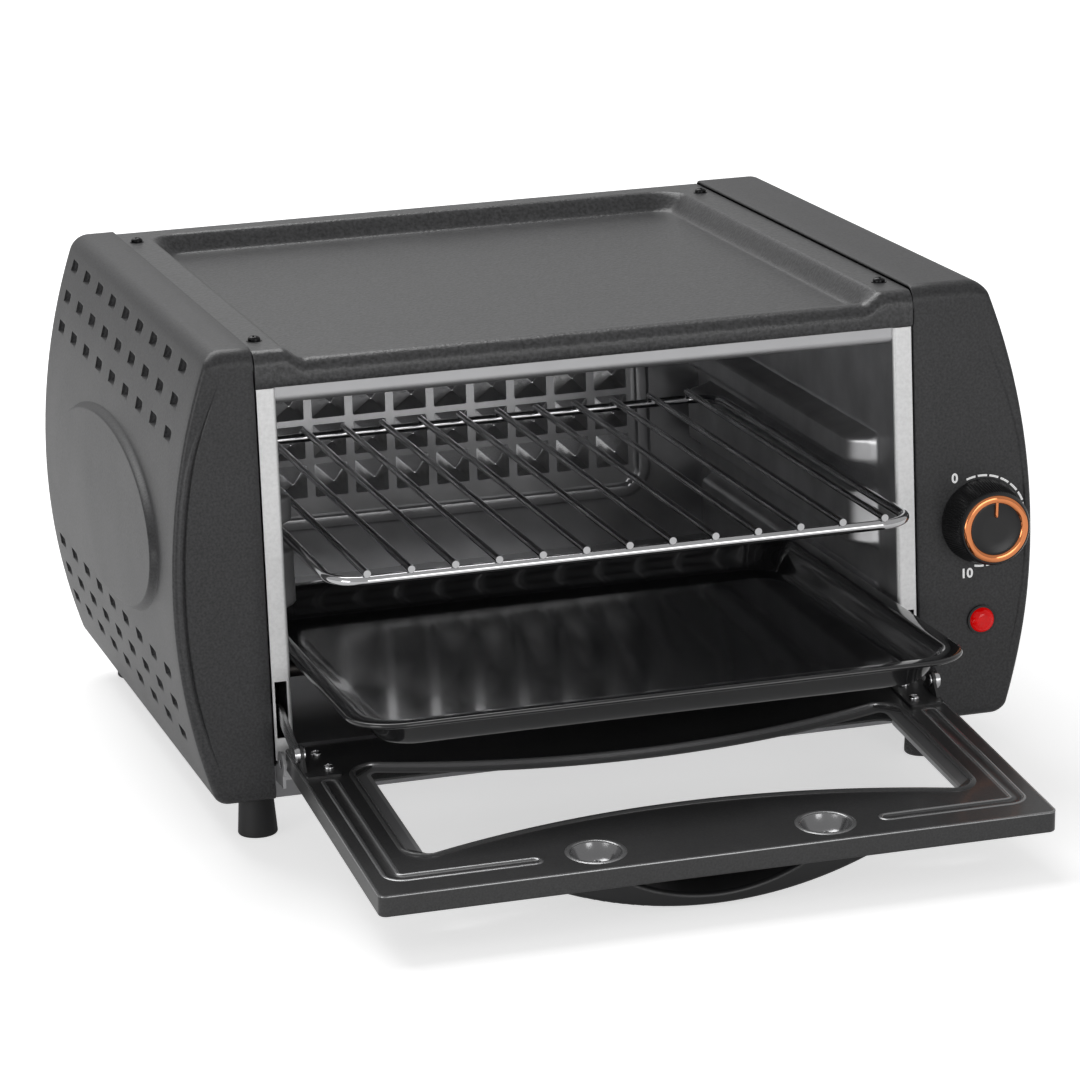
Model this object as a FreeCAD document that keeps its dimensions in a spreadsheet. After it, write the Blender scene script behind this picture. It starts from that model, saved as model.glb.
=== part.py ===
"""Countertop electric tandoor: a small oven with a drop-down glass door.

Frame of the drawing (mm): X runs from the left side panel to the right one, Y from the front to
the back and Z up. X = 0 is the inner face of the left side panel, Y = 0 the front of the side
panels, Z = 0 the surface that the feet stand on.  Every sub-part is then placed by -origin_x and
-origin_y, so that the finished part has its origin under the middle of its bounding box.
"""
import FreeCAD
import Part
import Sketcher
import math
import os

# Driving sizes in mm, angles in degrees and counts.
DRIVING = {
    # body and side panels
    "opening_width": 270.0, "body_depth": 280.6, "body_top": 197.7, "panel_bottom": 16.5,
    "left_bulge": 36.5, "right_bulge": 49.4, "bulge_level": 97.0, "top_drop": 18.8,
    "bottom_drop": 13.2, "panel_wall": 2.2, "panel_edge": 2.0, "panel_corner": 9.0,
    "panel_foot_corner": 6.5, "ledge_width": 11.5, "ledge_thickness": 2.0, "ledge_end_gap": 6.0,
    "left_border": 4.8, "right_border": 2.4, "face_sink": 0.5,
    "oval_front": 29.7, "oval_back": 39.9, "oval_height": 73.4, "oval_level": 110.3,
    "oval_rise": 3.0,
    "vent_length": 13.0, "vent_height": 5.0, "vent_rise": 13.0, "vent_columns": 9, "vent_rows": 3,
    "vent_front": 24.0, "vent_back": 14.8, "upper_vent_drop": 39.2, "lower_vent_level": 37.0,
    # top plate
    "plate_sheet": 1.2, "plate_gap": 0.4, "plate_drop": 1.5, "lip_height": 14.3,
    "lip_radius": 6.0, "lip_curl": 1.0, "lip_curl_height": 3.4, "pan_depth": 8.0,
    "pan_front_drop": 4.4, "pan_slope": 6.0, "pan_side": 13.5, "pan_front": 16.0,
    "pan_front_rim": 7.0, "pan_back": 12.0, "pan_corner": 14.0, "plate_screw_x": 5.9,
    "plate_screw_front": 24.0, "plate_screw_inset": 23.6,
    "screw_hole": 1.6,
    # cavity
    "cavity_sheet": 0.8, "flange_face": 1.5, "flange_width": 7.7, "flange_bottom": 32.5,
    "cavity_rear_gap": 20.6, "cavity_lap": 2.0, "cavity_floor_level": 37.5,
    "roof_drop": 13.7, "roof_flange": 2.5, "floor_lip_overlap": 4.0,
    "slot_low": 41.4, "slot_high": 64.4, "slot_inset": 1.0, "slot_width": 4.9,
    "rail_front": 20.0, "rail_end_gap": 14.0, "rail_corner": 4.0, "rail_slope": 8.0,
    "rail_rise_a": 10.5, "rail_low_a": 119.1, "rail_high_a": 133.9,
    "rail_rise_b": 10.5, "rail_low_b": 85.0, "rail_high_b": 112.2,
    "rail_rise_c": 5.0, "rail_low_c": 54.5, "rail_high_c": 69.9,
    "header_height": 9.2, "header_bend": 3.0, "header_depth": 8.0, "header_set_back": 1.5,
    "pyramid_margin": 42.125, "pyramid_top_gap": 13.6, "pyramid_side": 14.0, "pyramid_height": 4.5,
    "pyramid_tip": 1.0, "pyramid_level": 80.9, "pyramid_columns": 10, "pyramid_rows": 6,
    "bead_margin": 24.5, "bead_low": 58.4, "bead_width": 6.5, "bead_height": 1.4,
    "bead_corner": 14.0,
    # base, feet and rear
    "base_level": 17.0, "base_front": 3.0, "base_rear_gap": 3.0, "base_flange_top": 30.0,
    "foot_radius": 8.0, "foot_taper": 4.0, "foot_round": 1.2,
    "foot_inset": 5.5, "foot_front": 13.5, "foot_rear_inset": 18.6,
    "rear_vent_length": 22.0, "rear_vent_height": 4.0, "rear_vent_rise": 12.0,
    "rear_vent_side": 30.0, "rear_vent_right": 68.0, "rear_vent_low": 40.0,
    "rear_vent_drop": 47.7, "rear_vent_columns": 6,
    "grommet_x": 225.0, "grommet_z": 48.0, "grommet_radius": 7.0, "grommet_bore": 3.4,
    "grommet_lip": 1.0, "grommet_flange": 1.1, "grommet_neck": 2.5,
    # heaters
    "element_radius": 3.6, "upper_element_drop": 16.0, "lower_element_level": 47.0,
    "element_front": 80.0, "element_rear_gap": 75.0, "element_overhang": 14.0,
    "bush_radius": 6.0, "bush_gap": 0.1, "bush_collar": 2.5, "bush_depth": 5.0, "bush_inside": 1.5,
    # door
    "hinge_y": -6.6, "hinge_z": 33.3, "pin_radius": 2.0, "pin_clearance": 0.05,
    "pin_from_face": 5.0, "pin_from_edge": 3.5, "pin_length": 12.0, "pin_block": 9.0,
    "pin_block_end": 4.0, "door_side_gap": 3.1, "door_length": 151.0, "door_thickness": 8.4,
    "door_sheet": 0.9, "door_corner": 3.0, "door_edge_round": 0.7, "door_droop": 5.5,
    "glass_thickness": 3.0, "glass_lap": 6.0, "clip_width": 8.0, "clip_overlap": 2.0,
    "clip_end_gap": 4.0, "window_side": 23.0, "window_near": 27.0, "window_near_middle": 45.0,
    "window_far_border": 32.0, "window_far_bow": 19.0, "window_corner": 9.0, "window_lap": 3.0,
    "groove_side": 9.9, "groove_near": 37.0, "groove_far_border": 12.7, "groove_reach": 68.0,
    "groove_width": 4.6, "groove_sink": 0.45, "groove_corner": 7.0,
    "cup_radius": 9.5, "cup_clearance": 1.5, "handle_screw_x": 45.0, "handle_screw_border": 16.5,
    "handle_reach": 15.0, "handle_width": 19.0, "handle_strap": 5.0, "handle_overhang": 17.0,
    "handle_gap_half": 36.0, "handle_round": 1.8, "handle_screw_depth": 7.0,
    # stays and hinge lugs
    "rivet_from_edge": 21.5, "rivet_from_face": 5.6, "rivet_radius": 2.0, "rivet_head": 3.0,
    "rivet_head_height": 0.6, "stay_length": 60.0, "stay_width": 7.0, "stay_angle": 20.0,
    "stay_x": 2.7, "stay_sheet": 1.4, "stay_eye": 1.6, "stay_eye_inset": 3.0,
    "ear_x": 4.3, "ear_sheet": 1.2, "ear_radius": 4.0, "ear_foot": 8.0, "bracket_sheet": 1.0,
    "bracket_width": 14.0, "bracket_near": 14.0, "bracket_far": 13.0,
    "lug_x": 0.8, "lug_sheet": 1.2, "lug_tab": 10.0, "lug_low": 7.0, "lug_arm": 7.5,
    "lug_eye": 5.2,
    # rack and tray
    "rack_wire": 2.0, "rack_rod": 1.45, "rack_front": 43.4, "rack_rear_gap": 9.0,
    "rack_side": 17.5, "rack_corner": 14.0, "rack_rods": 13, "rack_rod_margin": 12.74,
    "rack_weld": 0.4, "rack_gap": 0.2, "tray_out": 95.0, "tray_rear_gap": 38.0, "tray_side": 11.5,
    "tray_sheet": 0.8, "tray_depth": 12.0, "tray_rim": 5.0, "tray_slope": 9.0,
    "tray_corner": 20.0, "tray_gap": 0.2,
    # control
    "knob_x": 27.9, "knob_z": 98.7, "knob_radius": 17.5, "knob_depth": 15.0, "knob_taper": 9.0,
    "knob_round": 0.8, "knob_ring": 13.9, "knob_face": 10.6, "ring_seat": 1.0, "ring_height": 1.5,
    "knob_gap": 0.6, "knob_front_wall": 3.0, "shaft_radius": 3.0, "shaft_hole_gap": 1.0,
    "thermostat_half": 14.0, "thermostat_depth": 20.0, "thermostat_corner": 3.0,
    "thermostat_floor": 2.0, "shaft_inside": 16.0,
    "lamp_x": 26.9, "lamp_z": 57.3, "lamp_radius": 5.2, "lamp_bezel": 6.1, "lamp_flange": 1.0,
    "lamp_barrel": 0.5, "lamp_barrel_depth": 8.0, "lamp_lens_depth": 6.0, "lamp_dome": 3.4,
    "lamp_round": 3.2,
}

DERIVED = {
    "body_middle": "=opening_width / 2",
    "origin_x": "=(opening_width + right_bulge - left_bulge) / 2",
    "vent_pitch": "=(body_depth - vent_front - vent_length - vent_back) / (vent_columns - 1)",
    "plate_screw_back": "=body_depth - plate_screw_inset",
    "plate_level": "=body_top - plate_drop",
    "pan_floor": "=body_top - plate_drop - pan_depth",
    "lip_bottom": "=body_top - plate_drop - lip_height",
    "lip_curl_radius": "=(lip_curl ^ 2 + lip_curl_height ^ 2) / (2 * lip_curl)",
    "upper_vent_level": "=body_top - upper_vent_drop",
    "rear_vent_high": "=body_top - rear_vent_drop",
    "cavity_roof_level": "=body_top - roof_drop",
    "header_low": "=cavity_roof_level - header_height",
    "upper_element_level": "=cavity_roof_level - upper_element_drop",
    "pyramid_rise": "=(cavity_roof_level - pyramid_top_gap - pyramid_level)"
                    " / (pyramid_rows - 1)",
    "oval_length": "=body_depth - oval_front - oval_back",
    "cavity_back": "=body_depth - cavity_rear_gap",
    "cavity_left": "=plate_gap * 2 + flange_width",
    "cavity_right": "=opening_width - cavity_left",
    "rail_back": "=cavity_back - rail_end_gap",
    "pyramid_pitch": "=(cavity_right - cavity_left - 2 * pyramid_margin) / (pyramid_columns - 1)",
    "foot_right": "=opening_width + foot_inset",
    "foot_back": "=body_depth - foot_rear_inset",
    "rear_vent_pitch": "=(opening_width - rear_vent_side - rear_vent_length - rear_vent_right)"
                       " / (rear_vent_columns - 1)",
    "window_far": "=door_length - window_far_border",
    "window_far_middle": "=door_length - window_far_border - window_far_bow",
    "groove_far": "=door_length - groove_far_border",
    "handle_screw_from_edge": "=door_length - handle_screw_border",
    "element_back": "=cavity_back - element_rear_gap",
    "rack_level": "=rail_high_b - (rack_side - cavity_left) * tan(rail_slope * 1deg)"
                  " + rack_wire / cos(rail_slope * 1deg) + rack_gap",
    "rack_length": "=cavity_back - rack_rear_gap",
    "rack_rod_pitch": "=(opening_width - 2 * rack_side - 2 * rack_rod_margin) / (rack_rods - 1)",
    "tray_level": "=rail_high_c - (tray_side - cavity_left) * tan(rail_slope * 1deg)"
                  " + tray_gap + tray_sheet",
    "tray_length": "=cavity_back - tray_rear_gap",
}

# How far a cutting solid runs past what it cuts.
OVERCUT = 5.0


class Size:
    """A length together with the spreadsheet formula that gives it."""

    def __init__(self, value, text):
        self.value = value
        self.text = text

    def __add__(self, other):
        other = as_size(other)
        return Size(self.value + other.value, f"({self.text} + {other.text})")

    def __sub__(self, other):
        other = as_size(other)
        return Size(self.value - other.value, f"({self.text} - {other.text})")

    def __mul__(self, other):
        other = as_size(other)
        return Size(self.value * other.value, f"({self.text} * {other.text})")

    def __truediv__(self, other):
        other = as_size(other)
        return Size(self.value / other.value, f"({self.text} / {other.text})")

    def __neg__(self):
        return Size(-self.value, f"(0 - {self.text})")

    def __radd__(self, other):
        return as_size(other) + self

    def __rsub__(self, other):
        return as_size(other) - self

    def __rmul__(self, other):
        return as_size(other) * self


def as_size(number):
    if isinstance(number, Size):
        return number
    return Size(float(number), f"({float(number)})")


def cosine(size):
    return Size(math.cos(math.radians(size.value)), f"cos({size.text} * 1deg)")


def sine(size):
    return Size(math.sin(math.radians(size.value)), f"sin({size.text} * 1deg)")


doc = FreeCAD.newDocument("tandoor")
sheet = doc.addObject("Spreadsheet::Sheet", "sizes")
NODES = {}


def fill_sheet():
    """Write the driving sizes and the sizes that follow from them, each with its alias."""
    for row, (name, value) in enumerate({**DRIVING, **DERIVED}.items(), start=1):
        sheet.set(f"A{row}", name)
        sheet.set(f"B{row}", str(value))
        sheet.setAlias(f"B{row}", name)
    doc.recompute()


def dim(name):
    return Size(float(sheet.get(name)), f"sizes.{name}")


fill_sheet()
MIDDLE = dim("body_middle")
ORIGIN_X = dim("origin_x")
WIDTH = dim("opening_width")
TOP = dim("body_top")
DROOP = dim("door_droop")
# the door lies on its back at rest: it reaches forward from the hinge by these sizes
DOOR_EDGE_Y = (dim("hinge_y") + dim("pin_from_edge") * cosine(DROOP)
               - dim("pin_from_face") * sine(DROOP))
DOOR_EDGE_Z = (dim("hinge_z") + dim("pin_from_edge") * sine(DROOP)
               + dim("pin_from_face") * cosine(DROOP))
DOOR_FRONT = DOOR_EDGE_Y - dim("door_length") * cosine(DROOP)
ORIGIN_Y = (dim("body_depth") + DOOR_FRONT) / 2


def bind(obj, prop, size):
    """Set a property and bind it to the spreadsheet."""
    obj.setExpression(prop, as_size(size).text)


def place(obj, x=0, y=0, z=0):
    for axis, size in (("x", x), ("y", y), ("z", z)):
        bind(obj, f"Placement.Base.{axis}", size)


def node(name, obj, x=0, y=0, z=0):
    """Name a finished sub-part and put it in the frame of the part."""
    obj.Label = name
    place(obj, as_size(x) - ORIGIN_X, as_size(y) - ORIGIN_Y, z)
    NODES[name] = obj
    return obj


# ---------------------------------------------------------------- sketches and bodies

PLANES = {"XY": "XY_Plane", "XZ": "XZ_Plane", "YZ": "YZ_Plane"}


def new_body(name):
    return doc.addObject("PartDesign::Body", name + "_body")


def new_sketch(body, plane, offset=0):
    """A sketch on a plane of the body's origin, moved along the plane's normal.

    On XZ the normal is -Y, so its offset is minus the Y of the sketch.
    """
    sketch = body.newObject("Sketcher::SketchObject", body.Name + "_sketch")
    role = PLANES[plane]
    base = [part for part in body.Origin.OriginFeatures if part.Role == role][0]
    sketch.AttachmentSupport = (base, [""])
    sketch.MapMode = "FlatFace"
    bind(sketch, "AttachmentOffset.Base.z", offset)
    return sketch


def fix_point(sketch, index, corner, x, y):
    """Fix a point of an edge at x, y from the sketch's origin, both bound to the sheet."""
    for kind, size in (("DistanceX", as_size(x)), ("DistanceY", as_size(y))):
        bound_distance(sketch, kind, index, corner, size)


def bound_distance(sketch, kind, index, corner, size):
    number = sketch.addConstraint(Sketcher.Constraint(kind, -1, 1, index, corner, size.value))
    sketch.setExpression(f"Constraints[{number}]", size.text)


def polygon(sketch, points):
    """A closed outline with straight sides through points given as pairs of sizes."""
    points = [(as_size(x), as_size(y)) for x, y in points]
    first = sketch.GeometryCount
    vectors = [FreeCAD.Vector(x.value, y.value, 0) for x, y in points]
    for start, end in zip(vectors, vectors[1:] + vectors[:1]):
        sketch.addGeometry(Part.LineSegment(start, end), False)
    count = len(points)
    for step, (x, y) in enumerate(points):
        following = first + (step + 1) % count
        sketch.addConstraint(Sketcher.Constraint("Coincident", first + step, 2, following, 1))
        fix_point(sketch, first + step, 1, x, y)


def rectangle(sketch, x0, x1, y0, y1):
    polygon(sketch, [(x0, y0), (x1, y0), (x1, y1), (x0, y1)])


def circle(sketch, x, y, radius):
    x, y, radius = as_size(x), as_size(y), as_size(radius)
    index = sketch.GeometryCount
    center = FreeCAD.Vector(x.value, y.value, 0)
    sketch.addGeometry(Part.Circle(center, FreeCAD.Vector(0, 0, 1), radius.value), False)
    fix_point(sketch, index, 3, x, y)
    number = sketch.addConstraint(Sketcher.Constraint("Radius", index, radius.value))
    sketch.setExpression(f"Constraints[{number}]", radius.text)


def outline(sketch, pieces):
    """A closed outline of lines and arcs.

    Each piece is ("line", start) or ("arc", start, center, turn), and ends where the next one
    starts; turn is 1 for an arc that runs anticlockwise and -1 for one that runs clockwise.  An
    arc whose ends lie above each other has "x" as a fifth entry: its centre is then fixed in X.
    """
    first = sketch.GeometryCount
    count = len(pieces)
    for step, piece in enumerate(pieces):
        start = [as_size(number) for number in piece[1]]
        end = [as_size(number) for number in pieces[(step + 1) % count][1]]
        a = FreeCAD.Vector(start[0].value, start[1].value, 0)
        b = FreeCAD.Vector(end[0].value, end[1].value, 0)
        if piece[0] == "line":
            sketch.addGeometry(Part.LineSegment(a, b), False)
            continue
        center = [as_size(number) for number in piece[2]]
        c = FreeCAD.Vector(center[0].value, center[1].value, 0)
        whole = Part.Circle(c, FreeCAD.Vector(0, 0, 1), (a - c).Length)
        from_angle = math.atan2(a.y - c.y, a.x - c.x)
        to_angle = math.atan2(b.y - c.y, b.x - c.x)
        if piece[3] < 0:
            from_angle, to_angle = to_angle, from_angle
        sketch.addGeometry(Part.ArcOfCircle(whole, from_angle, to_angle), False)
    for step, piece in enumerate(pieces):
        index = first + step
        following = first + (step + 1) % count
        backward = piece[0] == "arc" and piece[3] < 0
        next_piece = pieces[(step + 1) % count]
        next_backward = next_piece[0] == "arc" and next_piece[3] < 0
        sketch.addConstraint(Sketcher.Constraint(
            "Coincident", index, 1 if backward else 2, following, 2 if next_backward else 1))
        fix_point(sketch, index, 2 if backward else 1, piece[1][0], piece[1][1])
        if piece[0] == "arc":
            kind, center = center_size(piece)
            bound_distance(sketch, kind, index, 3, as_size(center))


def center_size(piece):
    """An arc through two fixed points needs one more size: its centre along one axis."""
    return ("DistanceY", piece[2][1]) if len(piece) < 5 else ("DistanceX", piece[2][0])


def round_rectangle(sketch, x0, x1, y0, y1, radius):
    x0, x1, y0, y1, r = [as_size(number) for number in (x0, x1, y0, y1, radius)]
    outline(sketch, [
        ("line", (x0 + r, y0)), ("arc", (x1 - r, y0), (x1 - r, y0 + r), 1),
        ("line", (x1, y0 + r)), ("arc", (x1, y1 - r), (x1 - r, y1 - r), 1),
        ("line", (x1 - r, y1)), ("arc", (x0 + r, y1), (x0 + r, y1 - r), 1),
        ("line", (x0, y1 - r)), ("arc", (x0, y0 + r), (x0 + r, y0 + r), 1)])


def pad(body, sketch, length, reverse=False, taper=0, pocket=False):
    kind = "PartDesign::Pocket" if pocket else "PartDesign::Pad"
    feature = body.newObject(kind, body.Name + ("_pocket" if pocket else "_pad"))
    feature.Profile = sketch
    feature.Reversed = reverse
    bind(feature, "Length", length)
    if taper:
        bind(feature, "TaperAngle", taper)
    return feature


def loft(body, first, *others, cut=False):
    """A body's straight-sided transition through two or more sketches, added or taken away."""
    kind = "PartDesign::SubtractiveLoft" if cut else "PartDesign::AdditiveLoft"
    feature = body.newObject(kind, body.Name + "_loft")
    feature.Profile = first
    feature.Sections = list(others)
    feature.Ruled = True
    return feature


def row_pattern(body, originals, axis, pitch, count):
    feature = body.newObject("PartDesign::LinearPattern", body.Name + "_row")
    feature.Originals = originals
    base = [part for part in body.Origin.OriginFeatures if part.Role == axis + "_Axis"][0]
    feature.Direction = (base, [""])
    bind(feature, "Length", pitch * (count - 1))
    feature.Occurrences = count
    body.Tip = feature
    return feature


def box(x0, x1, y0, y1, z0, z1):
    solid = doc.addObject("Part::Box", "block")
    x0, y0, z0 = as_size(x0), as_size(y0), as_size(z0)
    bind(solid, "Length", as_size(x1) - x0)
    bind(solid, "Width", as_size(y1) - y0)
    bind(solid, "Height", as_size(z1) - z0)
    place(solid, x0, y0, z0)
    return solid


TURNS = {"X": FreeCAD.Rotation(FreeCAD.Vector(0, 1, 0), 90),
         "Y": FreeCAD.Rotation(FreeCAD.Vector(1, 0, 0), -90),
         "Z": FreeCAD.Rotation()}
# turns an ellipse so that it is long in Y, high in Z and square to X
ELLIPSE_TURN = FreeCAD.Rotation(FreeCAD.Vector(1, 1, 1), 120)


def rod(axis, x, y, z, radius, length):
    solid = doc.addObject("Part::Cylinder", "rod")
    bind(solid, "Radius", radius)
    bind(solid, "Height", length)
    solid.Placement = FreeCAD.Placement(FreeCAD.Vector(), TURNS[axis])
    place(solid, x, y, z)
    return solid


def cut(base, *tools):
    for tool in tools:
        result = doc.addObject("Part::Cut", "cut")
        result.Base, result.Tool = base, tool
        base = result
    return base


def fuse(*shapes):
    result = doc.addObject("Part::MultiFuse", "union")
    result.Shapes = list(shapes)
    result.Refine = True
    return result


def root(size):
    return Size(math.sqrt(size.value), f"sqrt({size.text})")


def pick_edges(feature, wanted):
    """Names of the edges of a feature's shape for which wanted(edge) holds."""
    return [f"Edge{number}" for number, edge in enumerate(feature.Shape.Edges, start=1)
            if wanted(edge)]


def round_edges(body, feature, wanted, radius):
    """Fillet the edges of a PartDesign feature for which wanted(edge) holds."""
    doc.recompute()
    fillet = body.newObject("PartDesign::Fillet", body.Name + "_fillet")
    fillet.Base = (feature, pick_edges(feature, wanted))
    bind(fillet, "Radius", radius)
    return fillet


def runs_along(edge, axis):
    """True for a straight edge parallel to an axis, given as 0, 1 or 2."""
    if not isinstance(edge.Curve, Part.Line):
        return False
    return abs(abs(edge.Curve.Direction[axis]) - 1) < 1e-6


def mirrored(side, x):
    """X of a point that lies x inside the opening from the left or from the right panel."""
    return WIDTH - x if side == "right" else as_size(x)


def span(side, x0, x1):
    """Low and high X of a piece between x0 and x1 inside the opening, on either side."""
    if side == "right":
        return WIDTH - x1, WIDTH - x0
    return as_size(x0), as_size(x1)


# ---------------------------------------------------------------- side panels

def bowed_half(bulge, inset, drop, rise, corner):
    """Upper or lower half of the bowed section, set in by inset, with a round corner.

    Gives the X of the bow's centre and of the corner's centre, and where the bow ends: X and
    the height from the bulge level."""
    radius = (drop * drop + rise * rise) / (2 * drop)
    center = bulge - radius
    inner = radius - corner
    up = rise - corner
    out = root(inner * inner - up * up)
    share = (radius - inset) / inner
    return center, center + out, center + out * share, up * share


def panel_outline(sketch, side, bulge, inset, start):
    """Section of a side panel, drawn outward from X = start to the bowed skin."""
    level, bottom = dim("bulge_level"), dim("panel_bottom")
    corner, foot = dim("panel_corner"), dim("panel_foot_corner")
    bow, corner_x, end_x, end_up = bowed_half(bulge, inset, dim("top_drop"), TOP - level, corner)
    low_bow, foot_x, low_end_x, low_end_up = bowed_half(
        bulge, inset, dim("bottom_drop"), level - bottom, foot)
    turn = 1 if side == "right" else -1

    def x(reach):
        return WIDTH + reach if side == "right" else -as_size(reach)

    outline(sketch, [
        ("line", (x(start), bottom + inset)),
        ("arc", (x(foot_x), bottom + inset), (x(foot_x), bottom + foot), turn),
        ("arc", (x(low_end_x), level - low_end_up), (x(low_bow), level), turn),
        ("arc", (x(bulge - inset), level), (x(bow), level), turn),
        ("arc", (x(end_x), level + end_up), (x(corner_x), TOP - corner), turn),
        ("line", (x(corner_x), TOP - inset)),
        ("line", (x(start), TOP - inset))])


def vents(body, side, bulge, first_level):
    """One group of vents through the bowed skin, in rows and columns."""
    sketch = new_sketch(body, "YZ", panel_edge_x(side))
    for step in range(DRIVING["vent_rows"]):
        low = first_level + dim("vent_rise") * step
        rectangle(sketch, dim("vent_front"), dim("vent_front") + dim("vent_length"),
                  low, low + dim("vent_height"))
    slots = pad(body, sketch, bulge + OVERCUT, reverse=side == "right", pocket=True)
    row_pattern(body, [slots], "Y", dim("vent_pitch"), DRIVING["vent_columns"])


def panel_edge_x(side):
    return WIDTH if side == "right" else as_size(0)


def side_panel(side, bulge):
    """Bowed housing, open towards the cavity, with a sunk front face and, a step lower than its
    top, a ledge for the top plate."""
    body = new_body(side + "_side_panel")
    depth, wall = dim("body_depth"), dim("panel_wall")
    edge_x = panel_edge_x(side).value
    skin = new_sketch(body, "XZ", 0)
    panel_outline(skin, side, bulge, as_size(0), as_size(0))
    block = pad(body, skin, depth, reverse=True)

    def end_rim(edge):
        middle = edge.CenterOfMass
        at_end = middle.y < 0.01 or middle.y > depth.value - 0.01
        return at_end and abs(middle.x - edge_x) > 0.01

    round_edges(body, block, end_rim, dim("panel_edge"))
    hollow = new_sketch(body, "XZ", -wall)
    panel_outline(hollow, side, bulge, wall, as_size(-OVERCUT))
    pad(body, hollow, depth - 2 * wall, pocket=True)
    front = new_sketch(body, "XZ", 0)
    panel_outline(front, side, bulge, dim(side + "_border"), as_size(-OVERCUT))
    pad(body, front, dim("face_sink"), pocket=True)
    ledge_top = dim("plate_level") - dim("plate_sheet")
    step = new_sketch(body, "XY", TOP - wall)
    x0, x1 = span(side, -wall, as_size(0))
    rectangle(step, x0, x1, dim("ledge_end_gap"), depth - dim("ledge_end_gap"))
    pad(body, step, TOP - wall - ledge_top + dim("ledge_thickness"), reverse=True)
    ledge = new_sketch(body, "XY", ledge_top)
    x0, x1 = span(side, -wall, dim("ledge_width"))
    rectangle(ledge, x0, x1, dim("ledge_end_gap"), depth - dim("ledge_end_gap"))
    pad(body, ledge, dim("ledge_thickness"), reverse=True)
    for first_level in (dim("lower_vent_level"), dim("upper_vent_level")):
        vents(body, side, bulge, first_level)
    return body


def oval_layer(side, bulge, outer, inner, shrink):
    """What lies inside the oval, shrunk by shrink, between two surfaces parallel to the bowed
    skin: they are set in by outer and by inner."""
    layer = new_body(side + "_oval_layer")
    whole = new_sketch(layer, "XZ", OVERCUT)
    panel_outline(whole, side, bulge, outer, as_size(-OVERCUT))
    pad(layer, whole, dim("body_depth") + 2 * OVERCUT, reverse=True)
    core = new_sketch(layer, "XZ", 2 * OVERCUT)
    panel_outline(core, side, bulge, inner, as_size(-2 * OVERCUT))
    pad(layer, core, dim("body_depth") + 4 * OVERCUT, pocket=True)
    rim = doc.addObject("Part::Ellipse", "oval_rim")
    rim.Placement = FreeCAD.Placement(FreeCAD.Vector(), ELLIPSE_TURN)
    half = dim("oval_length") / 2
    bind(rim, "MajorRadius", half - shrink)
    bind(rim, "MinorRadius", dim("oval_height") / 2 - shrink)
    place(rim, panel_edge_x(side), dim("oval_front") + half, dim("oval_level"))
    prism = doc.addObject("Part::Extrusion", "oval_prism")
    prism.Base = rim
    prism.DirMode = "Custom"
    prism.Dir = FreeCAD.Vector(1 if side == "right" else -1, 0, 0)
    bind(prism, "LengthFwd", bulge + OVERCUT)
    prism.Solid = True
    shared = doc.addObject("Part::MultiCommon", "oval")
    shared.Shapes = [layer, prism]
    return shared


def with_raised_oval(panel, side, bulge):
    """The panel with an oval raised from its skin, hollow behind so that the wall stays even."""
    wall, rise = dim("panel_wall"), dim("oval_rise")
    raised = fuse(panel, oval_layer(side, bulge, -rise, wall, as_size(0)))
    return cut(raised, oval_layer(side, bulge, wall - rise, 2 * wall, wall))


def control_holes():
    length = dim("panel_wall") + 2 * OVERCUT
    return [rod("Y", WIDTH + dim("knob_x"), -OVERCUT, dim("knob_z"),
                dim("shaft_radius") + dim("shaft_hole_gap"), length),
            rod("Y", WIDTH + dim("lamp_x"), -OVERCUT, dim("lamp_z"),
                dim("lamp_radius") + dim("lamp_barrel"), length)]


def make_panels():
    left = side_panel("left", dim("left_bulge"))
    node("left_side_panel", with_raised_oval(left, "left", dim("left_bulge")))
    right = with_raised_oval(side_panel("right", dim("right_bulge")), "right", dim("right_bulge"))
    node("right_side_panel", cut(right, *control_holes()))


# ---------------------------------------------------------------- top plate

def lip_section(body, x, rim, tongue):
    """Section of the sheet's front at X = x: tongue is the level of its rear end, and rim that
    of the short flat behind the roll, from which the lip goes down and curls under."""
    skin, radius, low = dim("plate_sheet"), dim("lip_radius"), dim("lip_bottom")
    rear, flat, curl = dim("pan_front"), dim("pan_front_rim"), dim("lip_curl_radius")
    start = low + dim("lip_curl_height")
    aside = 1 - dim("lip_curl") / curl
    under = dim("lip_curl_height") / curl
    inner = curl - skin
    sketch = new_sketch(body, "YZ", x)
    outline(sketch, [
        ("line", (rear, tongue)),
        ("line", (flat, rim)),
        ("arc", (radius, rim), (radius, rim - radius), 1),
        ("line", (0, rim - radius)),
        ("arc", (0, start), (curl, start), 1),
        ("line", (dim("lip_curl"), low)),
        ("arc", (curl - inner * aside, start - inner * under), (curl, start), -1),
        ("line", (skin, start)),
        ("arc", (skin, rim - radius), (radius, rim - radius), -1),
        ("line", (radius, rim - skin)),
        ("line", (flat, rim - skin)),
        ("line", (rear, tongue - skin))])
    return sketch


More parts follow.
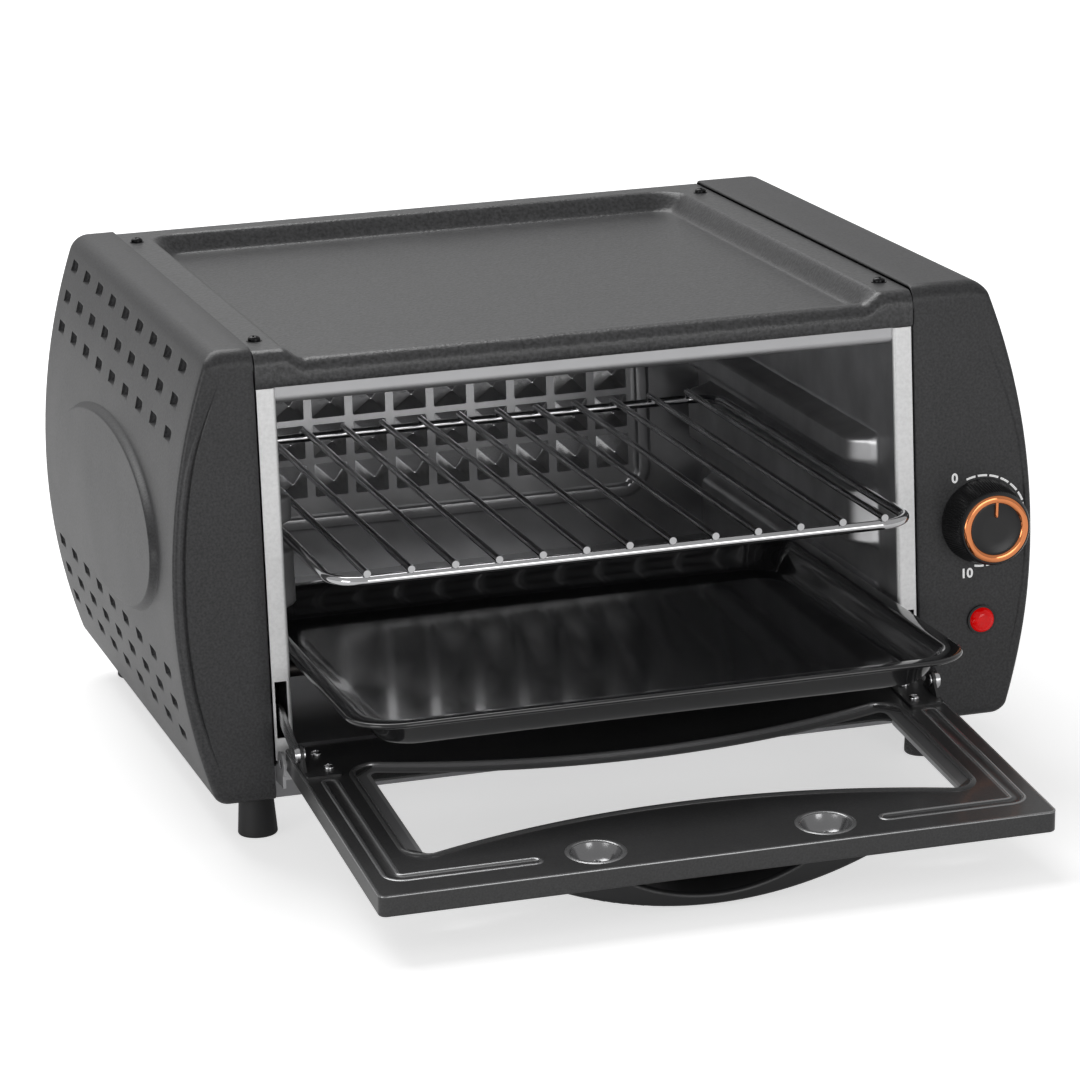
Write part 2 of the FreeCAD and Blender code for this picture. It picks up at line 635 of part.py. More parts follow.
def make_top_plate():
    """Drawn sheet: a shallow keep-warm pan whose front is lower than its sides, and the lip."""
    level, skin, gap = dim("plate_level"), dim("plate_sheet"), dim("plate_gap")
    slope, corner, rear = dim("pan_slope"), dim("pan_corner"), dim("pan_front")
    back = dim("body_depth") - gap
    front = new_body("top_plate_front")
    rim, tab = dim("pan_side") + skin / 2, dim("pan_side") + slope + skin
    low = level - dim("pan_front_drop")
    loft(front, lip_section(front, gap, level, level), lip_section(front, rim, level, level),
         lip_section(front, tab, low, dim("pan_floor")),
         lip_section(front, WIDTH - tab, low, dim("pan_floor")),
         lip_section(front, WIDTH - rim, level, level),
         lip_section(front, WIDTH - gap, level, level))
    sheet_body = new_body("top_plate_rear")
    flat = new_sketch(sheet_body, "XY", level)
    rectangle(flat, gap, WIDTH - gap, rear, back)
    pad(sheet_body, flat, skin, reverse=True)

    def pan(height, inset):
        sketch = new_sketch(sheet_body, "XY", height)
        round_rectangle(sketch, dim("pan_side") + inset, WIDTH - dim("pan_side") - inset,
                        -corner - OVERCUT, dim("body_depth") - dim("pan_back") - inset, corner)
        return sketch

    loft(sheet_body, pan(dim("pan_floor") - skin, slope), pan(level - skin / 2, -skin / 2))
    loft(sheet_body, pan(dim("pan_floor"), slope + skin), pan(level + skin / 6, skin / 2),
         cut=True)
    holes = new_sketch(sheet_body, "XY", level + OVERCUT)
    for x in (dim("plate_screw_x"), WIDTH - dim("plate_screw_x")):
        for y in (dim("plate_screw_front"), dim("plate_screw_back")):
            circle(holes, x, y, dim("screw_hole"))
    pad(sheet_body, holes, skin + OVERCUT, pocket=True)
    forward = box(0, WIDTH, -corner - 2 * OVERCUT, rear, dim("pan_floor") - OVERCUT,
                  level + OVERCUT)
    node("top_plate", fuse(front, cut(sheet_body, forward)))


# ---------------------------------------------------------------- cavity

def rack_rail(body, side, name, x, inset, pocket):
    """One pressed rail that stands out from the wall at X = x, or the hollow behind it."""
    sketch = new_sketch(body, "YZ", x)
    round_rectangle(sketch, dim("rail_front") + inset, dim("rail_back") - inset,
                    dim("rail_low_" + name) + inset, dim("rail_high_" + name) - inset,
                    dim("rail_corner") - inset)
    pad(body, sketch, dim("rail_rise_" + name), reverse=(side == "left") == pocket,
        taper=-dim("rail_slope"), pocket=pocket)


def cavity_wall(side):
    """Side wall with a front flange, the slot for the stay and three pressed rack rails."""
    body = new_body(f"cavity_{side}_wall")
    skin, face, inside = dim("cavity_sheet"), dim("flange_face"), dim("cavity_left")
    flange_edge = inside - dim("flange_width")
    x0, x1 = span(side, inside - skin, inside)
    room_x, back_x = (x1, x0) if side == "left" else (x0, x1)
    bottom = dim("base_level") + dim("plate_sheet")
    step = dim("base_front") + dim("plate_sheet")
    top, rear = dim("cavity_roof_level"), dim("cavity_back") + dim("cavity_lap")
    flange_top = dim("lip_bottom") - dim("plate_gap")
    wall = new_sketch(body, "YZ", back_x)
    polygon(wall, [(step, bottom), (rear, bottom), (rear, top), (step, top),
                   (step, flange_top), (face, flange_top),
                   (face, dim("flange_bottom")), (step, dim("flange_bottom"))])
    pad(body, wall, skin, reverse=side == "right")
    flange = new_sketch(body, "XZ", -face - skin)
    f0, f1 = span(side, flange_edge, inside)
    rectangle(flange, f0, f1, dim("flange_bottom"), flange_top)
    pad(body, flange, skin)
    slot = new_sketch(body, "XZ", -face + OVERCUT)
    slot_edge = flange_edge + dim("slot_inset")
    s0, s1 = span(side, slot_edge, slot_edge + dim("slot_width"))
    rectangle(slot, s0, s1, dim("slot_low"), dim("slot_high"))
    pad(body, slot, skin + 2 * OVERCUT, pocket=True)
    for name in ("a", "b", "c"):
        rack_rail(body, side, name, room_x, as_size(0), False)
        rack_rail(body, side, name, back_x, skin * 1.3, True)
    holes = new_sketch(body, "YZ", back_x)
    for y in (dim("element_front"), dim("element_back")):
        for z in (dim("lower_element_level"), dim("upper_element_level")):
            circle(holes, y, z, dim("bush_radius"))
    pad(body, holes, skin, reverse=side == "left", pocket=True)
    node(f"cavity_{side}_wall", body)


def back_bead(body):
    """Raised bead round the pyramids, open at the roof."""
    x0 = dim("cavity_left") + dim("bead_margin")
    x1 = dim("cavity_right") - dim("bead_margin")
    low, top = dim("bead_low"), dim("cavity_roof_level")
    wide, turn = dim("bead_width"), dim("bead_corner")
    sketch = new_sketch(body, "XZ", -dim("cavity_back"))
    left_turn, right_turn = (x0 + turn, low + turn), (x1 - turn, low + turn)
    outline(sketch, [
        ("line", (x0, top)),
        ("arc", (x0, low + turn), left_turn, 1),
        ("line", (x0 + turn, low)),
        ("arc", (x1 - turn, low), right_turn, 1),
        ("line", (x1, low + turn)),
        ("line", (x1, top)),
        ("line", (x1 - wide, top)),
        ("arc", (x1 - wide, low + turn), right_turn, -1),
        ("line", (x1 - turn, low + wide)),
        ("arc", (x0 + turn, low + wide), left_turn, -1),
        ("line", (x0 + wide, low + turn)),
        ("line", (x0 + wide, top))])
    pad(body, sketch, dim("bead_height"))


def make_back_panel():
    """Back wall with a bead and a grid of pressed pyramids that spread the heat."""
    body = new_body("cavity_back_panel")
    skin, back = dim("cavity_sheet"), dim("cavity_back")
    plate = new_sketch(body, "XZ", -back - skin)
    rectangle(plate, dim("cavity_left"), dim("cavity_right"),
              dim("cavity_floor_level"), dim("cavity_roof_level"))
    pad(body, plate, skin)
    back_bead(body)
    pitch = dim("pyramid_pitch")
    first_x = dim("cavity_left") + dim("pyramid_margin")
    first_z = dim("pyramid_level")

    def square(y, half):
        sketch = new_sketch(body, "XZ", -y)
        rectangle(sketch, first_x - half, first_x + half, first_z - half, first_z + half)
        return sketch

    pyramid = loft(body, square(back + skin / 2, dim("pyramid_side") / 2),
                   square(back - dim("pyramid_height"), dim("pyramid_tip") / 2))
    grid = body.newObject("PartDesign::MultiTransform", "pyramid_grid")
    grid.Originals = [pyramid]
    grid.Transformations = [
        grid_step(body, "X", pitch, DRIVING["pyramid_columns"]),
        grid_step(body, "Z", dim("pyramid_rise"), DRIVING["pyramid_rows"])]
    body.Tip = grid
    node("cavity_back_panel", body)


def grid_step(body, axis, pitch, count):
    step = body.newObject("PartDesign::LinearPattern", body.Name + "_step")
    base = [part for part in body.Origin.OriginFeatures if part.Role == axis + "_Axis"][0]
    step.Direction = (base, [""])
    bind(step, "Length", pitch * (count - 1))
    step.Occurrences = count
    return step


def make_header_rail():
    """Folded rail under the top plate, across the top of the opening."""
    body = new_body("header_rail")
    skin, face = dim("cavity_sheet"), dim("flange_face") + dim("header_set_back")
    left, right = dim("cavity_left"), dim("cavity_right")
    low, high = dim("header_low"), dim("cavity_roof_level")
    bend, end = dim("header_bend"), face + dim("header_depth")
    turn = (face + bend, low + bend)
    section = new_sketch(body, "YZ", left)
    outline(section, [
        ("line", (end, high)),
        ("line", (face, high)),
        ("arc", (face, low + bend), turn, 1),
        ("line", (face + bend, low)),
        ("line", (end, low)),
        ("line", (end, low + skin)),
        ("arc", (face + bend, low + skin), turn, -1),
        ("line", (face + skin, low + bend)),
        ("line", (face + skin, high - skin)),
        ("line", (end, high - skin))])
    pad(body, section, right - left)
    node("header_rail", body)


def make_cavity():
    for side in ("left", "right"):
        cavity_wall(side)
    make_back_panel()
    make_header_rail()
    skin, face = dim("cavity_sheet"), dim("flange_face")
    left, right = dim("cavity_left"), dim("cavity_right")
    roof, rear = dim("cavity_roof_level"), dim("cavity_back") + dim("cavity_lap")
    node("cavity_roof", fuse(
        box(left - skin, right + skin, face + skin, rear, roof, roof + skin),
        box(left - skin, right + skin, rear - skin, rear, roof, roof + dim("roof_flange"))))
    floor = dim("cavity_floor_level")
    front = dim("base_front") + dim("plate_sheet")
    node("cavity_floor", fuse(
        box(left, right, front, dim("cavity_back"), floor - skin, floor),
        box(left, right, front, front + skin,
            dim("base_flange_top") - dim("floor_lip_overlap"), floor)))


# ---------------------------------------------------------------- base, feet and rear

def make_base():
    skin = dim("plate_sheet")
    level, front = dim("base_level"), dim("base_front")
    back = dim("body_depth") - dim("base_rear_gap")
    node("base_plate", fuse(
        box(0, WIDTH, front, back, level, level + skin),
        box(0, WIDTH, front, front + skin, level, dim("base_flange_top"))))
    for side, x in (("left", -dim("foot_inset")), ("right", dim("foot_right"))):
        for end in ("front", "back"):
            foot = new_body(f"foot_{end}_{side}")
            tread = new_sketch(foot, "XY", 0)
            circle(tread, 0, 0, dim("foot_radius"))
            block = pad(foot, tread, dim("panel_bottom"), taper=-dim("foot_taper"))
            round_edges(foot, block, lambda edge: edge.CenterOfMass.z < 0.01, dim("foot_round"))
            node(f"foot_{end}_{side}", foot, x, dim("foot_" + end))


def make_rear():
    """Rear cover with rows of vents and the grommet for the mains lead."""
    body = new_body("rear_cover")
    back = dim("body_depth") - dim("plate_sheet")
    bottom = dim("base_level") + dim("plate_sheet")
    bore, neck_radius = dim("grommet_bore"), dim("grommet_radius") - dim("grommet_lip")
    plate = new_sketch(body, "XZ", -back)
    rectangle(plate, 0, WIDTH, bottom, dim("plate_level") - dim("plate_sheet"))
    circle(plate, dim("grommet_x"), dim("grommet_z"), neck_radius)
    pad(body, plate, dim("cavity_sheet"))
    slots = new_sketch(body, "XZ", -back + OVERCUT)
    side, height = dim("rear_vent_side"), dim("rear_vent_height")
    for level in (dim("rear_vent_low"), dim("rear_vent_high")):
        for low in (level, level + dim("rear_vent_rise")):
            round_rectangle(slots, side, side + dim("rear_vent_length"),
                            low, low + height, height * 0.45)
    row = pad(body, slots, 2 * OVERCUT, pocket=True)
    row_pattern(body, [row], "X", dim("rear_vent_pitch"), DRIVING["rear_vent_columns"])
    node("rear_cover", body)
    ring = new_body("cord_grommet")
    flange = new_sketch(ring, "XZ", 0)
    circle(flange, 0, 0, dim("grommet_radius") + dim("grommet_lip"))
    circle(flange, 0, 0, bore)
    pad(ring, flange, dim("grommet_flange"), reverse=True)
    neck = new_sketch(ring, "XZ", 0)
    circle(neck, 0, 0, neck_radius)
    circle(neck, 0, 0, bore)
    pad(ring, neck, dim("grommet_neck"))
    node("cord_grommet", ring, dim("grommet_x"), back, dim("grommet_z"))


# ---------------------------------------------------------------- heaters

def make_heaters():
    """Sheathed rods across the cavity, each end in a ceramic bush in the side wall."""
    reach = dim("element_overhang")
    left = dim("cavity_left")
    for level_name in ("upper", "lower"):
        level = dim(level_name + "_element_level")
        for end in ("front", "back"):
            y = dim("element_" + end)
            heater = new_body(f"heating_element_{level_name}_{end}")
            section = new_sketch(heater, "YZ", left - reach)
            circle(section, 0, 0, dim("element_radius"))
            pad(heater, section, WIDTH - 2 * left + 2 * reach)
            node(f"heating_element_{level_name}_{end}", heater, 0, y, level)
            for side in ("left", "right"):
                ceramic_bush(f"ceramic_bush_{level_name}_{end}_{side}", side, y, level)


def ceramic_bush(name, side, y, level):
    """Collar outside the side wall with a neck through it, round the rod's end."""
    bush = new_body(name)
    wall_face = mirrored(side, dim("cavity_left") - dim("cavity_sheet"))
    outward = side == "left"
    collar = new_sketch(bush, "YZ", wall_face)
    circle(collar, 0, 0, dim("bush_radius") + dim("bush_collar"))
    circle(collar, 0, 0, dim("element_radius"))
    pad(bush, collar, dim("bush_depth"), reverse=outward)
    neck = new_sketch(bush, "YZ", wall_face)
    circle(neck, 0, 0, dim("bush_radius") - dim("bush_gap"))
    circle(neck, 0, 0, dim("element_radius"))
    pad(bush, neck, dim("cavity_sheet") + dim("bush_inside"), reverse=not outward)
    node(name, bush, 0, y, level)


# ---------------------------------------------------------------- door
# The door is drawn flat: the hinge edge of its inner face is at Y = 0, Z = 0, the free end is at
# Y = -door_length, and the outer face is below.  It is then tipped by the droop.

def door_node(name, obj):
    node(name, obj, 0, DOOR_EDGE_Y, DOOR_EDGE_Z)
    tip_about_x(obj, DROOP)


def tip_about_x(obj, angle):
    turn = FreeCAD.Rotation(FreeCAD.Vector(1, 0, 0), angle.value)
    obj.Placement = FreeCAD.Placement(obj.Placement.Base, turn)
    bind(obj, "Placement.Rotation.Angle", angle * Size(1, "1deg"))


def bow_center(edge, middle, half, towards):
    """Centre of the arc from an edge level, over a half-width, to its middle level."""
    rise = (edge - middle) * towards
    return middle + (half * half + rise * rise) / (2 * rise) * towards


def window(sketch):
    """Window of the door: its two long sides bow towards each other."""
    left, corner = dim("window_side"), dim("window_corner")
    right = WIDTH - left
    near, far = -dim("window_near"), -dim("window_far")
    half = (right - left) / 2 - corner
    near_center = bow_center(near, -dim("window_near_middle"), half, 1)
    far_center = bow_center(far, -dim("window_far_middle"), half, -1)
    outline(sketch, [
        ("line", (left, far + corner)),
        ("line", (left, near - corner)),
        ("arc", (left + corner, near), (MIDDLE, near_center), 1),
        ("line", (right - corner, near)),
        ("line", (right, near - corner)),
        ("line", (right, far + corner)),
        ("arc", (right - corner, far), (MIDDLE, far_center), 1),
        ("line", (left + corner, far))])


def handle_points():
    return [MIDDLE + dim("handle_screw_x") * sign for sign in (-1, 1)]


def stiffening_groove(sketch, side):
    """L-shaped groove with round ends, beside the window and along the free end."""
    outer, wide, turn = dim("groove_side"), dim("groove_width"), dim("groove_corner")
    near, far = -dim("groove_near"), -dim("groove_far")
    round_end, reach = wide / 2, dim("groove_reach")
    sign = 1 if side == "left" else -1

    def x(inside):
        return mirrored(side, inside)

    corner = (x(outer + turn), far + turn)
    outline(sketch, [
        ("arc", (x(outer + wide), near - round_end), (x(outer + round_end), near - round_end), sign),
        ("line", (x(outer), near - round_end)),
        ("arc", (x(outer), far + turn), corner, sign),
        ("line", (x(outer + turn), far)),
        ("arc", (x(reach - round_end), far), (x(reach - round_end), far + round_end), sign, "x"),
        ("line", (x(reach - round_end), far + wide)),
        ("arc", (x(outer + turn), far + wide), corner, -sign),
        ("line", (x(outer + wide), far + turn))])


def door_inner_panel():
    """Pressed frame: flat face with the window, folded edges and two cups for the handle screws."""
    body = new_body("door_inner_panel")
    skin, gap, corner = dim("door_sheet"), dim("door_side_gap"), dim("door_corner")
    far, depth = -dim("door_length"), dim("door_thickness") - skin
    face = new_sketch(body, "XY", 0)
    round_rectangle(face, gap, WIDTH - gap, far, 0, corner)
    pad(body, face, skin, reverse=True)
    rim = new_sketch(body, "XY", 0)
    round_rectangle(rim, gap, WIDTH - gap, far, 0, corner)
    round_rectangle(rim, gap + skin, WIDTH - gap - skin, far + skin, -skin, corner - skin)
    pad(body, rim, depth, reverse=True)
    opening = new_sketch(body, "XY", OVERCUT)
    window(opening)
    pad(body, opening, skin + 2 * OVERCUT, pocket=True)
    for side in ("left", "right"):
        groove = new_sketch(body, "XY", 0)
        stiffening_groove(groove, side)
        pad(body, groove, dim("groove_sink"), pocket=True)
    cup, cup_depth = dim("cup_radius"), depth - dim("cup_clearance")
    y = -dim("handle_screw_from_edge")
    outer = new_sketch(body, "XY", -skin / 2)
    inner = new_sketch(body, "XY", 0)
    hole = new_sketch(body, "XY", 0)
    for x in handle_points():
        circle(outer, x, y, cup + skin)
        circle(inner, x, y, cup)
        circle(hole, x, y, dim("screw_hole"))
    pad(body, outer, cup_depth, reverse=True)
    pad(body, inner, cup_depth, pocket=True)
    pad(body, hole, depth, pocket=True)
    pins = new_sketch(body, "YZ", -OVERCUT)
    circle(pins, -dim("pin_from_edge"), -dim("pin_from_face"), dim("pin_radius"))
    pad(body, pins, WIDTH + 2 * OVERCUT, reverse=True, pocket=True)
    door_node("door_inner_panel", body)


def door_outer_panel():
    """Flat cover of the door's outside, with a straight-sided window."""
    body = new_body("door_outer_panel")
    skin, gap, thick = dim("door_sheet"), dim("door_side_gap"), dim("door_thickness")
    side, lap, far = dim("window_side"), dim("window_lap"), -dim("door_length")
    face = new_sketch(body, "XY", -thick)
    round_rectangle(face, gap, WIDTH - gap, far, 0, dim("door_corner"))
    round_rectangle(face, side - lap, WIDTH - side + lap, -dim("window_far") - lap / 3,
                    -dim("window_near") + lap, dim("window_corner"))
    for x in handle_points():
        circle(face, x, -dim("handle_screw_from_edge"), dim("screw_hole"))
    plate = pad(body, face, skin)

    def outer_edge(edge):
        at = edge.CenterOfMass
        ends = at.y > -gap.value or at.y < far.value + gap.value
        sides = abs(at.x - MIDDLE.value) > MIDDLE.value - dim("door_corner").value - gap.value
        return at.z < 0.01 - thick.value and (ends or sides)

    round_edges(body, plate, outer_edge, dim("door_edge_round"))
    door_node("door_outer_panel", body)


def door_glass():
    body = new_body("door_glass")
    side, lap = dim("window_side"), dim("glass_lap")
    pane = new_sketch(body, "XY", -dim("door_sheet"))
    round_rectangle(pane, side - lap, WIDTH - side + lap, -dim("window_far") - lap * 2 / 3,
                    -dim("window_near") + lap, dim("door_corner"))
    pad(body, pane, dim("glass_thickness"), reverse=True)
    door_node("door_glass", body)


def glass_clip(side):
    """Spring strip that holds the pane against the inner panel."""
    top = -dim("door_sheet") - dim("glass_thickness")
    low = -dim("door_thickness") + dim("door_sheet")
    x = mirrored(side, dim("window_side") - dim("clip_overlap"))
    half, end_gap = dim("clip_width") / 2, dim("clip_end_gap")
    body = new_body("glass_clip_" + side)
    strip = new_sketch(body, "XY", top)
    rectangle(strip, x - half, x + half, -dim("window_far") + end_gap,
              -dim("window_near") - end_gap)
    pad(body, strip, top - low, reverse=True)
    door_node("glass_clip_" + side, body)


def door_handle():
    """Bow handle: two feet on the door and an arched bridge that leaves room for the fingers."""
    body = new_body("door_handle")
    top = -dim("door_thickness")
    reach, width = dim("handle_reach"), dim("handle_width")
    half = dim("handle_screw_x") + dim("handle_overhang")
    gap_half, gap_reach = dim("handle_gap_half"), reach - dim("handle_strap")
    foot = dim("handle_round") * 1.2
    middle = -dim("handle_screw_from_edge")
    section = new_sketch(body, "XZ", width / 2 - middle)
    outline(section, [
        ("line", (MIDDLE - half, top)),
        ("arc", (MIDDLE - half, top - foot),
         (MIDDLE, bow_center(top - foot, top - reach, half, 1)), 1),
        ("line", (MIDDLE + half, top - foot)),
        ("line", (MIDDLE + half, top)),
        ("arc", (MIDDLE + gap_half, top),
         (MIDDLE, bow_center(top, top - gap_reach, gap_half, 1)), -1),
        ("line", (MIDDLE - gap_half, top))])
    bridge = pad(body, section, width, reverse=True)
    round_edges(body, bridge, lambda edge: isinstance(edge.Curve, Part.Circle),
                dim("handle_round"))
    holes = new_sketch(body, "XY", top)
    for x in handle_points():
        circle(holes, x, middle, dim("screw_hole"))
    pad(body, holes, dim("handle_screw_depth"), pocket=True)
    door_node("door_handle", body)


def hinge_pin(side):
    """Block in the door's corner with the pin that turns in the hinge lug."""
    body = new_body("hinge_pin_" + side)
    skin = dim("door_sheet")
    y, z = -dim("pin_from_edge"), -dim("pin_from_face")
    low = -dim("door_thickness") + skin
    edge = dim("door_side_gap") + skin
    x0, x1 = span(side, edge, edge + dim("pin_block"))
    block = new_sketch(body, "XY", low)
    round_rectangle(block, x0, x1, y - dim("pin_block_end"), -skin, dim("door_corner") - skin)
    pad(body, block, -low - skin)
    shaft = new_sketch(body, "YZ", mirrored(side, dim("lug_x") + 2 * dim("pin_clearance")))
    circle(shaft, y, z, dim("pin_radius"))
    pad(body, shaft, dim("pin_length"), reverse=side == "right")
    door_node("hinge_pin_" + side, body)


def stay_bracket(side):
    """Plate on the inner face with an upright ear that carries the stay's rivet."""
    body = new_body("stay_bracket_" + side)
    skin, ear, foot = dim("bracket_sheet"), dim("ear_sheet"), dim("ear_foot")
    y, rise, tip = -dim("rivet_from_edge"), dim("rivet_from_face"), dim("ear_radius")
    x0, x1 = span(side, dim("ear_x"), dim("ear_x") + dim("bracket_width"))
    plate = new_sketch(body, "XY", 0)
    round_rectangle(plate, x0, x1, y - dim("bracket_far"), y + dim("bracket_near"), skin)
    pad(body, plate, skin)
    ear_x = x0 if side == "left" else x1
    upright = new_sketch(body, "YZ", ear_x)
    outline(upright, [
        ("line", (y - foot, 0)),
        ("line", (y + foot, 0)),
        ("line", (y + foot, skin)),
        ("arc", (y + tip, rise), (y, rise), 1),
        ("line", (y - tip, rise)),
        ("line", (y - foot, skin))])
    pad(body, upright, ear, reverse=side == "right")
    hole = new_sketch(body, "YZ", ear_x)
    circle(hole, y, rise, dim("rivet_radius") + dim("pin_clearance"))
    pad(body, hole, ear, reverse=side == "left", pocket=True)
    door_node("stay_bracket_" + side, body)


def make_door():
    door_inner_panel()
    door_outer_panel()
    door_glass()
    door_handle()
    for side in ("left", "right"):
        glass_clip(side)
        hinge_pin(side)
        stay_bracket(side)
        door_stay(side)
        hinge_lug(side)


# ---------------------------------------------------------------- hinge lugs and stays

def hinge_lug(side):
    """Bracket on the base's front flange with the bearing of the door's pin."""
    lug, skin, front = dim("lug_x"), dim("lug_sheet"), dim("base_front")
    y, z = dim("hinge_y"), dim("hinge_z")
    x0, x1 = span(side, lug, lug + skin)
    tab0, tab1 = span(side, lug, lug + dim("lug_tab"))
    low = dim("base_level") + dim("lug_low")
    plate = fuse(box(x0, x1, y - dim("lug_eye") / 2, front, low, low + dim("lug_arm")),
                 rod("X", x0, y, z, dim("lug_eye"), skin),
                 box(tab0, tab1, front - skin, front, low, dim("base_flange_top")))
    bearing = rod("X", x0 - 1, y, z, dim("pin_radius") + dim("pin_clearance"), skin + 2)
    node("hinge_lug_" + side, cut(plate, bearing))


def rivet_point():
    """Y and Z of the stay's rivet at rest."""
    along, above = dim("rivet_from_edge"), dim("rivet_from_face")
    return (DOOR_EDGE_Y - along * cosine(DROOP) - above * sine(DROOP),
            DOOR_EDGE_Z - along * sine(DROOP) + above * cosine(DROOP))


def door_stay(side):
    """Flat bar that runs from the rivet on the door through the slot of the front flange."""
    body = new_body("door_stay_" + side)
    half, length, skin = dim("stay_width") / 2, dim("stay_length"), dim("stay_sheet")
    head, inward = dim("rivet_head_height"), side == "right"
    x = mirrored(side, dim("stay_x"))
    bar = new_sketch(body, "YZ", x)
    outline(bar, [
        ("line", (0, -half)),
        ("arc", (length, -half), (length, 0), 1, "x"),
        ("line", (length, half)),
        ("arc", (0, half), (0, 0), 1, "x")])
    pad(body, bar, skin, reverse=inward)
    eye = new_sketch(body, "YZ", x)
    circle(eye, length - dim("stay_eye_inset"), 0, dim("stay_eye"))
    pad(body, eye, skin, reverse=not inward, pocket=True)
    outer_end = dim("stay_x") - head
    inner_end = dim("ear_x") + dim("ear_sheet") + dim("pin_clearance") * 2
    for start, radius, height in ((outer_end, dim("rivet_radius"), inner_end + head - outer_end),
                                  (outer_end, dim("rivet_head"), head),
                                  (inner_end, dim("rivet_head"), head)):
        disc = new_sketch(body, "YZ", mirrored(side, start))
        circle(disc, 0, 0, radius)
        pad(body, disc, height, reverse=inward)
    y, z = rivet_point()
    node("door_stay_" + side, body, 0, y, z)
    tip_about_x(body, dim("stay_angle"))


# ---------------------------------------------------------------- rack and tray

def make_rack():
    """Welded rack: a closed wire with rods across it, resting on the middle rails."""
    body = new_body("wire_rack")
    level, wire = dim("rack_level"), dim("rack_wire")
    side, corner = dim("rack_side"), dim("rack_corner")
    front = -dim("rack_front")
    back = front + dim("rack_length")
    path = new_sketch(body, "XY", level)
    round_rectangle(path, side, WIDTH - side, front, back, corner)
    section = new_sketch(body, "YZ", side + corner)
    circle(section, front, level, wire)
    frame = body.newObject("PartDesign::AdditivePipe", "rack_frame")
    frame.Profile = section
    frame.Spine = path
    radius = dim("rack_rod")
    end = new_sketch(body, "XZ", -front + radius)
    circle(end, side + dim("rack_rod_margin"), level + wire + radius - dim("rack_weld"), radius)
    first = pad(body, end, dim("rack_length") + 2 * radius, reverse=True)
    row_pattern(body, [first], "X", dim("rack_rod_pitch"), DRIVING["rack_rods"])
    node("wire_rack", body)


def make_tray():
    """Drawn baking tray with sloped walls and a flat rim that slides on the lowest rails."""
    body = new_body("baking_tray")
    level, skin, rim = dim("tray_level"), dim("tray_sheet"), dim("tray_rim")
    slope, corner = dim("tray_slope"), dim("tray_corner")
    bottom = level - dim("tray_depth")
    front = -dim("tray_out")

    def ring(z, inset):
        sketch = new_sketch(body, "XY", z)
        round_rectangle(sketch, dim("tray_side") + inset, WIDTH - dim("tray_side") - inset,
                        front + inset, front + dim("tray_length") - inset, corner - inset / 2)
        return sketch

    pad(body, ring(level, as_size(0)), skin, reverse=True)
    loft(body, ring(bottom, rim + slope), ring(level - skin / 2, rim))
    loft(body, ring(bottom + skin, rim + slope + skin), ring(level + skin / 4, rim + skin),
         cut=True)
    node("baking_tray", body)


# ---------------------------------------------------------------- control

def control_node(name, body, x, z):
    """A piece of the control panel: Y = 0 of its drawing is the sunk front face."""
    node(name, body, WIDTH + x, dim("face_sink"), z)


def make_knob():
    x, z = dim("knob_x"), dim("knob_z")
    radius, depth, gap = dim("knob_radius"), dim("knob_depth"), dim("knob_gap")
    body = new_body("knob_body")
    foot = new_sketch(body, "XZ", gap)
    circle(foot, 0, 0, radius)
    cone = pad(body, foot, depth, taper=-dim("knob_taper"))
    round_edges(body, cone, lambda edge: edge.CenterOfMass.y < -depth.value, dim("knob_round"))
    seat = new_sketch(body, "XZ", gap + depth)
    circle(seat, 0, 0, dim("knob_ring"))
    circle(seat, 0, 0, dim("knob_face"))
    pad(body, seat, dim("ring_seat"), pocket=True)
    bore = new_sketch(body, "XZ", gap)
    circle(bore, 0, 0, dim("shaft_radius"))
    pad(body, bore, depth - dim("knob_front_wall"), reverse=True, pocket=True)
    control_node("knob_body", body, x, z)
    ring = new_body("knob_ring")
    band = new_sketch(ring, "XZ", gap + depth - dim("ring_seat"))
    circle(band, 0, 0, dim("knob_ring"))
    circle(band, 0, 0, dim("knob_face"))
    pad(ring, band, dim("ring_height"))
    control_node("knob_ring", ring, x, z)


def make_thermostat():
    """Switch behind the panel's wall with the shaft that carries the knob."""
    x, z = dim("knob_x"), dim("knob_z")
    wall_back = dim("panel_wall") - dim("face_sink")
    half, length = dim("thermostat_half"), dim("thermostat_depth")
    inside = dim("shaft_inside")
    shaft = new_body("thermostat_shaft")
    end = new_sketch(shaft, "XZ", -wall_back - inside)
    circle(end, 0, 0, dim("shaft_radius"))
    pad(shaft, end, wall_back + inside + dim("knob_gap") + dim("knob_depth")
        - dim("knob_front_wall"))
    control_node("thermostat_shaft", shaft, x, z)
    switch = new_body("thermostat_body")
    block = new_sketch(switch, "XZ", -wall_back)
    round_rectangle(block, -half, half, -half, half, dim("thermostat_corner"))
    pad(switch, block, length, reverse=True)
    guide = new_sketch(switch, "XZ", -wall_back)
    circle(guide, 0, 0, dim("shaft_radius") + dim("pin_clearance"))
    pad(switch, guide, length - dim("thermostat_floor"), pocket=True)
    control_node("thermostat_body", switch, x, z)


